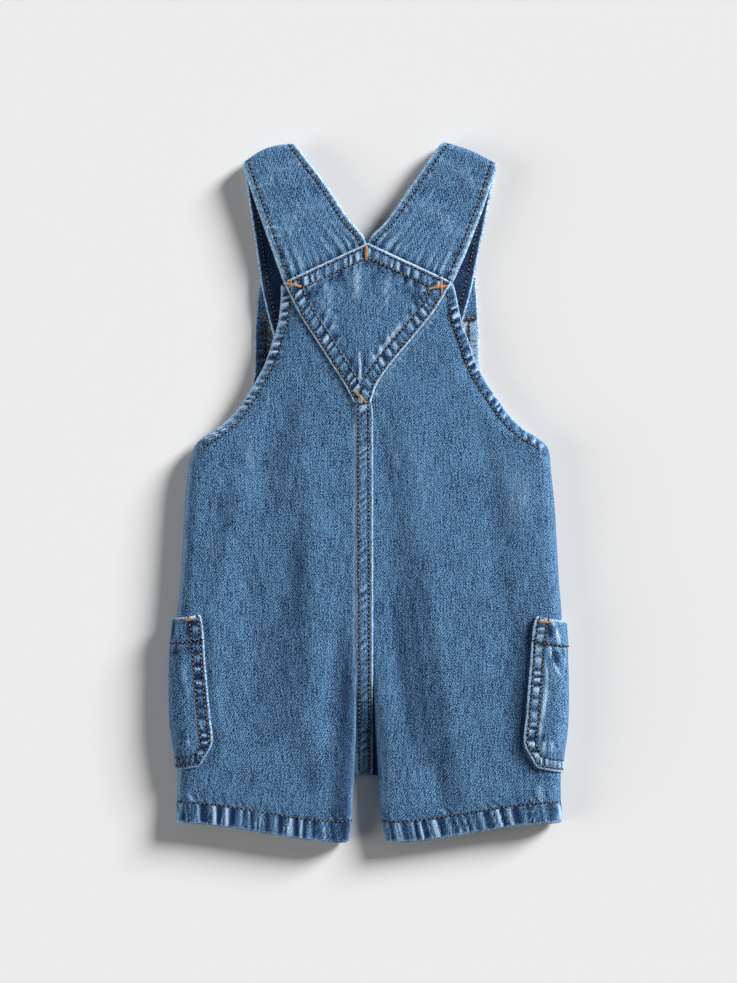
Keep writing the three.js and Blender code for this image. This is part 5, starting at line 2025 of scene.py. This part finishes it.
            # Puckers at the yoke, paler crests and darker troughs, with a painted shadow under the yoke's
            # edge.
            wall.add(0.7 * gather, 0.9 * gather - 0.5 * bell(along - self.tuck - 1, 2.2))
            for k, (place, rise) in enumerate(((40, 0.5), (58, -0.5), (76, 0.6), (92, -0.4))):
                slant = along - place - 0.3 * across * (-1) ** k
                wall.add(rise * bell(slant, 4.5) * 0.7, 0.12 * np.sign(rise) * bell(slant, 4.5))
            piece = wall.build(f"strap_piece_{side.value}", self.cloth, [self.wardrobe.denim])
            dress(piece, (f"strap_{side.value}",))
            self.sew(wall, stitcher)
            self.sew_lower(side, stitcher)

    def sew(self, wall: Wall, stitcher: Stitcher) -> None:
        """Sews both rows, from the yoke up and over the shoulder fold.

        Args:
            wall: the strap's cloth.
            stitcher: what sews the rows.
        """
        surface = wall.surface()
        for sign in (-1, 1):
            points, normals = [], []
            for r in range(self.first_row, self.fold_end):
                line = wall.flat[r, :, 0]
                place = sign * (line[-1] - self.row_inset)
                points.append([np.interp(place, line, surface[r, :, k]) for k in range(3)])
                normals.append([np.interp(place, line, wall.normals[r, :, k]) for k in range(3)])
            stitcher.rows.append(Row(np.array(points), np.array(normals)))

    def sew_lower(self, side: Side, stitcher: Stitcher) -> None:
        """Sews the row that shows beside the upper part of the strap.

        Args:
            side: left or right.
            stitcher: what sews it.
        """
        points = []
        for t in np.linspace(0.03, 1.0, 40):
            outer, inner = self.ends(STRAP_FRONT[side], float(t))
            x, y = outer + unit(inner - outer) * self.row_inset
            level = self.inside_level(float(np.clip((self.shoulder_y - y) / self.inside_length, 0, 1)))
            points.append((x, y, level + float(Layers.front_lift(side, x, y)) + self.cloth))
        stitcher.rows.append(Row(np.array(points), np.tile([0.0, 0.0, 1.0], (len(points), 1))))


POCKET_EDGE = Table(
    "drop left right",
    (0, -119.6, 120.4), (8, -118.2, 118.4), (40, -115.8, 115.6), (70, -112.9, 113.2),
    (92, -110.9, 111.2), (100, -115.4, 115.6), (107, -120.4, 120.6),
)


# Places are along the cloth from the fold at the leg's side, and down from the pocket's top
POCKET_CREASES = {
    Side.LEFT: (
        (-5.6, 1, -5.6, -17, 1.0, -0.7, 2.2), (-9.4, 0, -9.6, -17, 1.8, 0.5, 0.8),
        (-16.4, 0, -16.8, -16, 2.0, -0.7, 2.0), (-7.6, -21, -8.4, -27, 2.8, -0.5, 1.5),
        (-17.0, -20, -18.5, -28, 2.2, -0.4, 1.5), (-13.0, -30, -17.0, -58, 1.4, 0.5, 0.9),
        (-21.8, -72, -28.8, -87, 1.3, 0.5, 1.6), (-11.0, -78, -12.0, -88, 2.4, -0.3, 1.2),
        (-14.0, -84, -16.5, -95, 1.1, 0.4, 1.3),
    ),
    Side.RIGHT: (
        (-15.8, 0, -12.8, -5, 1.0, 0.6, 2.2), (-12.8, -5, -11.0, -17, 1.1, 0.6, 2.2),
        (-16.8, -2, -16.2, -15, 2.0, -0.6, 2.2), (-16.8, -18, -16.6, -28, 1.0, 0.6, 2.2),
        (-16.6, -28, -9.5, -41, 1.1, 0.5, 1.6), (-13.6, -21, -12.2, -33, 2.2, -0.6, 2.2),
        (-8.4, -22, -7.6, -33, 1.3, 0.4, 1.0), (-19.8, -30, -19.4, -48, 1.1, 0.5, 1.8),
        (-19.4, -44, -22.6, -77, 1.4, 0.6, 2.0), (-22.6, -74, -22.8, -86, 1.2, 0.5, 1.8),
        (-20.2, -81, -20.6, -90, 1.4, -0.5, 1.9), (-19.0, -85, -19.4, -97, 1.1, 0.5, 1.8),
        (-27.2, -78, -26.4, -88, 1.6, -0.5, 1.6), (-13.8, -84, -14.0, -96, 1.2, 0.4, 1.6),
    ),
}


@dataclass
class Pockets:
    """The patch pockets that wrap round the sides of the legs."""

    wardrobe: Wardrobe
    cloth: float = 1.5
    puff: float = 1.7
    top_puff: float = 0.75
    hem: float = 17.6
    straight: float = 92.0
    length: float = 107.0
    band: float = 0.5
    band_turn: int = 5
    edge_row: float = 2.1
    inner_row: float = 8.2

    def grid(self, side: Side) -> tuple[Array, Array]:
        """The points on the leg, and where they lie on the flat pocket.

        Args:
            side: left or right.

        Returns:
            The points, rows by columns by 3, and the flat places, rows by columns by 2.
        """
        cut, sign = POCKETS[side], side.sign
        drops = np.concatenate([
            np.linspace(0, self.hem, 20),
            np.linspace(self.hem, self.straight, 84)[1:],
            np.linspace(self.straight, self.length, 18)[1:],
        ])
        level = cut.top - drops
        edge = BACK_EDGE.at(side.value, level)
        deep = np.abs(edge - POCKET_EDGE.at(side.value, drops))
        reach = np.minimum(deep * 0.9, CUT.side_fold)
        turn = np.linspace(math.pi / 2, 0, 21)
        round_part = reach[:, None] * (1 - np.cos(turn))[None, :]
        flat_part = mix(deep[:, None], round_part[:, :1], np.linspace(0, 1, 27)[None, :-1])
        depth = np.concatenate([flat_part, round_part], axis=1)
        y = level[:, None] + cut.shear * depth
        x = BACK_EDGE.at(side.value, y) - sign * depth
        on_back = np.stack([x, y, Layers.back(side, x, y)], axis=2)
        on_front = np.stack([x, y, Layers.front(side, x, y)], axis=2)
        points = np.concatenate([on_back, on_front[:, -2::-1]], axis=1)
        run = travel(points)
        run = run - run[:, depth.shape[1] - 1][:, None]
        flat = np.stack([run, np.broadcast_to(-drops[:, None], run.shape)], axis=2)
        return points, flat

    def build(self, stitcher: Stitcher, tacks: "Tacks") -> None:
        """Builds and dresses both pockets.

        Args:
            stitcher: what sews the rows.
            tacks: what sews the bar tacks.
        """
        for side in Side:
            cut = POCKETS[side]
            points, flat = self.grid(side)
            middle = (points.shape[1] - 1) // 2
            drops = -flat[..., 1]
            leg = Wall(points, flat, -side.sign)
            lengthwise = mix(self.top_puff, 1, smooth(0, 40, drops)) * smooth(107, 75, drops)
            crown = lengthwise * bell(flat[..., 0], 13.0)
            raised = points + leg.normals * (CUT.gap + self.cloth + self.puff * crown)[..., None]
            raised[..., 2] = np.maximum(raised[..., 2], 0.0)
            wall = Wall(raised, flat, -side.sign)
            half = (flat[:, :1, 0], flat[:, -1:, 0])
            shown = np.arange(points.shape[1]) <= middle + self.band_turn
            band = self.band * smooth(self.hem + 1.0, self.hem, drops) * shown[None, :]
            # A pale top edge and hem line, worn and painted highlight.
            wall.add(band, 0.7 * bell(drops, 1.1) + 0.15 * bell(drops - self.hem - 1, 0.9))
            inset = np.minimum(np.abs(flat[..., 0] - half[0]), np.abs(half[1] - flat[..., 0]))
            below = self.length - drops
            inset = np.minimum(inset, below)
            run = np.where(below <= inset, 2.2 * flat[..., 0], drops)
            Ripples(2.9, 7.4, 7.6, 0.4, 1.4, 0.2, 0.8, 10.0 + side.sign).press(wall.relief, run, inset)
            Ripples(0.0, 1.6, 5.5, 0.2, 0.4, 0.6, 0.6, 11.0 + side.sign).press(wall.relief, run, inset)
            # The rows' grooves darken with painted shade.
            for row in (self.edge_row, self.inner_row):
                groove = bell(inset - row, 0.9)
                wall.add(-0.3 * groove, -0.4 * groove)
            # Pale edges, worn and painted highlight.
            wall.add(0.0, cut.edge_wear_and_highlight * bell(inset, 0.7))
            ripple = uneven_wave(flat[..., 0] + 0.1 * drops, 6.0, 12.0 + side.sign)
            ripple = ripple * bell(drops - self.hem - 5, 7.0)
            # Puckers below the hem band, and painted shade along the hem's lower edge.
            wall.add(0.35 * ripple, 0.5 * ripple - 0.3 * bell(drops - self.hem, 0.8))
            seamed = smooth(1.2, 2.4, inset) * smooth(8.2, 7.2, inset)
            patches = 0.25 * mottle(flat[..., 0], drops, 8.0, 7.0 + side.sign)
            wall.add(0.0, cut.wear_and_shading + cut.seam_wear * seamed + patches)
            wall.press(*(Crease(*row) for row in POCKET_CREASES[side]))
            under = wall.points[..., 2] < 0.4
            wall.relief.height = np.where(under, np.minimum(wall.relief.height, 0), wall.relief.height)
            finishes = [self.wardrobe.denim, self.wardrobe.inside]
            piece = wall.build(f"pocket_piece_{side.value}", self.cloth, finishes)
            dress(piece, (f"pocket_{side.value}",))
            self.sew(wall, stitcher)
            tacks.add(piece, *cut.tack, 2.0)

    def sew(self, wall: Wall, stitcher: Stitcher) -> None:
        """Sews the rows on the pocket's own grid, round the fold too.

        Args:
            wall: the pocket's cloth.
            stitcher: what sews the rows.
        """
        flat = wall.flat
        drops = -flat[:, 0, 1]
        down = np.linspace(0.8, self.straight, 90)
        for row in (self.edge_row, self.inner_row):
            stop = self.straight - row * 0.3
            down_row = down[down < stop]
            low = self.length - row
            targets = []
            for column, sign in ((0, 1), (-1, -1)):
                run = np.interp(down_row, drops, flat[:, column, 0]) + sign * row
                self.sew_through(wall, stitcher, run, down_row)
                target = np.interp(low, drops, flat[:, column, 0]) + sign * row
                targets.append(((float(run[-1]), stop), target))
            for (u, d), target in targets:
                self.sew_through(wall, stitcher, np.linspace(u, target, 12), np.linspace(d, low, 12))
            across = np.linspace(targets[0][1], targets[1][1], 60)
            self.sew_through(wall, stitcher, across, np.full(60, low))
        first, last = (np.interp(self.hem, drops, flat[:, column, 0]) for column in (0, -1))
        self.sew_through(wall, stitcher, np.linspace(first + 1, last - 1, 70), np.full(70, self.hem))

    @staticmethod
    def sew_through(wall: Wall, stitcher: Stitcher, run: Array, drops: Array) -> None:
        """Sews a row through places of the pocket.

        Args:
            wall: the pocket's cloth.
            stitcher: what sews it.
            run: the places across the flat pocket.
            drops: the places down from its top.
        """
        surface = wall.surface()
        levels = -wall.flat[:, 0, 1]
        points, normals = [], []
        for u, drop in zip(run, drops):
            r = int(np.clip(np.searchsorted(levels, drop), 0, len(levels) - 1))
            line = wall.flat[r, :, 0]
            points.append([np.interp(u, line, surface[r, :, k]) for k in range(3)])
            normals.append([np.interp(u, line, wall.normals[r, :, k]) for k in range(3)])
        stitcher.rows.append(Row(np.array(points), np.array(normals)))


@dataclass
class Tacks:
    """Bar tacks: close zigzag thread across a short line."""

    wardrobe: Wardrobe
    spacing: float = 0.62
    thread: tuple[float, float] = (0.66, 0.62)
    core: tuple[float, float] = (0.5, 0.5)
    slant: float = 0.22
    lift: float = 0.22
    core_lift: float = 0.1
    places: list[tuple[Array, Array, float]] = field(default_factory=list)

    def add(
        self, piece: bpy.types.Object, start: tuple[float, float], end: tuple[float, float], width: float
    ) -> None:
        """Marks a bar tack.

        Args:
            piece: what it is sewn on.
            start: one end in plan.
            end: the other end in plan.
            width: how wide the zigzag is.
        """
        finder = Stitcher()
        finder.learn(piece)
        hits = []
        for share in np.linspace(0, 1, 9):
            x, y = mix(start[0], end[0], share), mix(start[1], end[1], share)
            hit = finder.cast(piece.name, float(x), float(y), True)
            if hit is not None:
                hits.append(hit)
        if len(hits) > 1:
            points = np.array([p for p, _ in hits])
            normal = np.mean([n for _, n in hits], axis=0)
            self.places.append((points, unit(normal), width))

    def build(self) -> None:
        """Joins all bar tacks to one piece."""
        copies = Copies()
        for points, normal, width in self.places:
            lengths = travel(points)
            along = unit(points[-1] - points[0])
            across = np.cross(normal, along)
            for k, s in enumerate(np.arange(0, lengths[-1], self.spacing)):
                centre = np.array([np.interp(s, lengths, points[:, a]) for a in range(3)])
                way = unit(across + along * self.slant * (-1) ** k)
                copies.add(centre + normal * self.lift, (width, *self.thread), way, normal)
            for shift in (-0.3, 0.3):
                centre = points.mean(axis=0) + across * shift * width
                copies.add(centre + normal * self.core_lift, (lengths[-1], *self.core), along, normal)
        copies.join("bar_tacks", self.wardrobe.tack)


@dataclass
class Buttons:
    """The two buttons under the bib, whose solids are kept."""

    wardrobe: Wardrobe

    def dress(self) -> None:
        """Gives both solids their metal."""
        for side in Side:
            solid = bpy.data.objects[f"button_{side.value}"]
            solid.data.materials.clear()
            solid.data.materials.append(self.wardrobe.metal)
            LOG.info("%s: aged brass", solid.name)


@dataclass
class Studio:
    """The pale surface, the soft light from the upper right and the camera above."""

    wide: float = 0.5263
    tall: float = 0.7028
    lens: float = 100.0
    sensor: float = 36.0
    mid_height: float = 0.008
    centre_x: float = 0.0004
    key: float = 6.7
    fill: float = 2.1
    room: float = 0.085

    def build(self) -> None:
        """Builds the surface, lights and camera."""
        bpy.ops.mesh.primitive_grid_add(x_subdivisions=4, y_subdivisions=4, size=6, location=(0, 0, -0.0006))
        floor = bpy.context.object
        floor.name = "floor"
        paper = {"Roughness": 0.9, "Specular IOR Level": 0.1, "Base Color": (0.80, 0.80, 0.80, 1)}
        floor.data.materials.append(start_material("pale paper", paper)[0])
        world = bpy.data.worlds.new("soft room")
        world.use_nodes = True
        world.node_tree.nodes["Background"].inputs["Color"].default_value = (1, 1, 1, 1)
        world.node_tree.nodes["Background"].inputs["Strength"].default_value = self.room
        bpy.context.scene.world = world
        self.softbox("key", (1.85, 1.35, 0.92), 20.0, self.key)
        self.softbox("fill", (-1.9, -0.25, 0.48), 42.0, self.fill)
        self.camera()
        bpy.context.scene.view_settings.view_transform = "Standard"

    @staticmethod
    def softbox(name: str, towards: tuple[float, float, float], softness: float, power: float) -> None:
        """Adds a wide distant light.

        Args:
            name: the light's name.
            towards: the way from the garment to the light.
            softness: how wide it looks from there, in degrees.
            power: its strength.
        """
        data = bpy.data.lights.new(name, "SUN")
        data.angle = math.radians(softness)
        data.energy = power
        light = bpy.data.objects.new(name, data)
        light.rotation_euler = (-Vector(towards)).to_track_quat("-Z", "Y").to_euler()
        light.location = Vector(towards).normalized()
        bpy.context.collection.objects.link(light)

    def camera(self) -> None:
        """Puts the camera straight above the middle of the garment."""
        data = bpy.data.cameras.new("camera")
        data.lens = self.lens
        data.sensor_width = self.sensor
        data.clip_end = 20
        camera = bpy.data.objects.new("camera", data)
        camera.location = (self.centre_x, 0, self.mid_height + self.tall * self.lens / self.sensor)
        bpy.context.collection.objects.link(camera)
        bpy.context.scene.camera = camera


def main() -> None:
    """Builds the whole garment and its studio."""
    logging.basicConfig(level=logging.INFO, format="%(message)s")
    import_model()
    wardrobe = Wardrobe()
    Studio().build()
    stitcher, inside = Stitcher(), Stitcher()
    tacks = Tacks(wardrobe)
    Front(wardrobe).build(stitcher, inside)
    Straps(wardrobe).build(stitcher)
    Back(wardrobe).build(stitcher)
    Yoke(wardrobe).build(stitcher, tacks)
    Pockets(wardrobe).build(stitcher, tacks)
    # A dark strip under every row: painted shade of the stitch grooves.
    stitcher.lay("groove_shade_strip", wardrobe.groove_shade, (4.2, 1.05, 0.6), 0.0, 0.0)
    stitcher.lay("topstitching", wardrobe.thread, (1.9, 0.44, 0.6), 0.26)
    # A dark strip under the facing's rows: painted shade of their grooves.
    inside.lay("facing_groove_shade_strip", wardrobe.groove_shade, (4.2, 0.85, 0.6), 0.0, 0.0)
    inside.lay("facing_stitching", wardrobe.tack, (2.5, 0.80, 0.6), 0.26)
    tacks.build()
    Buttons(wardrobe).dress()


if __name__ == "__main__":
    main()
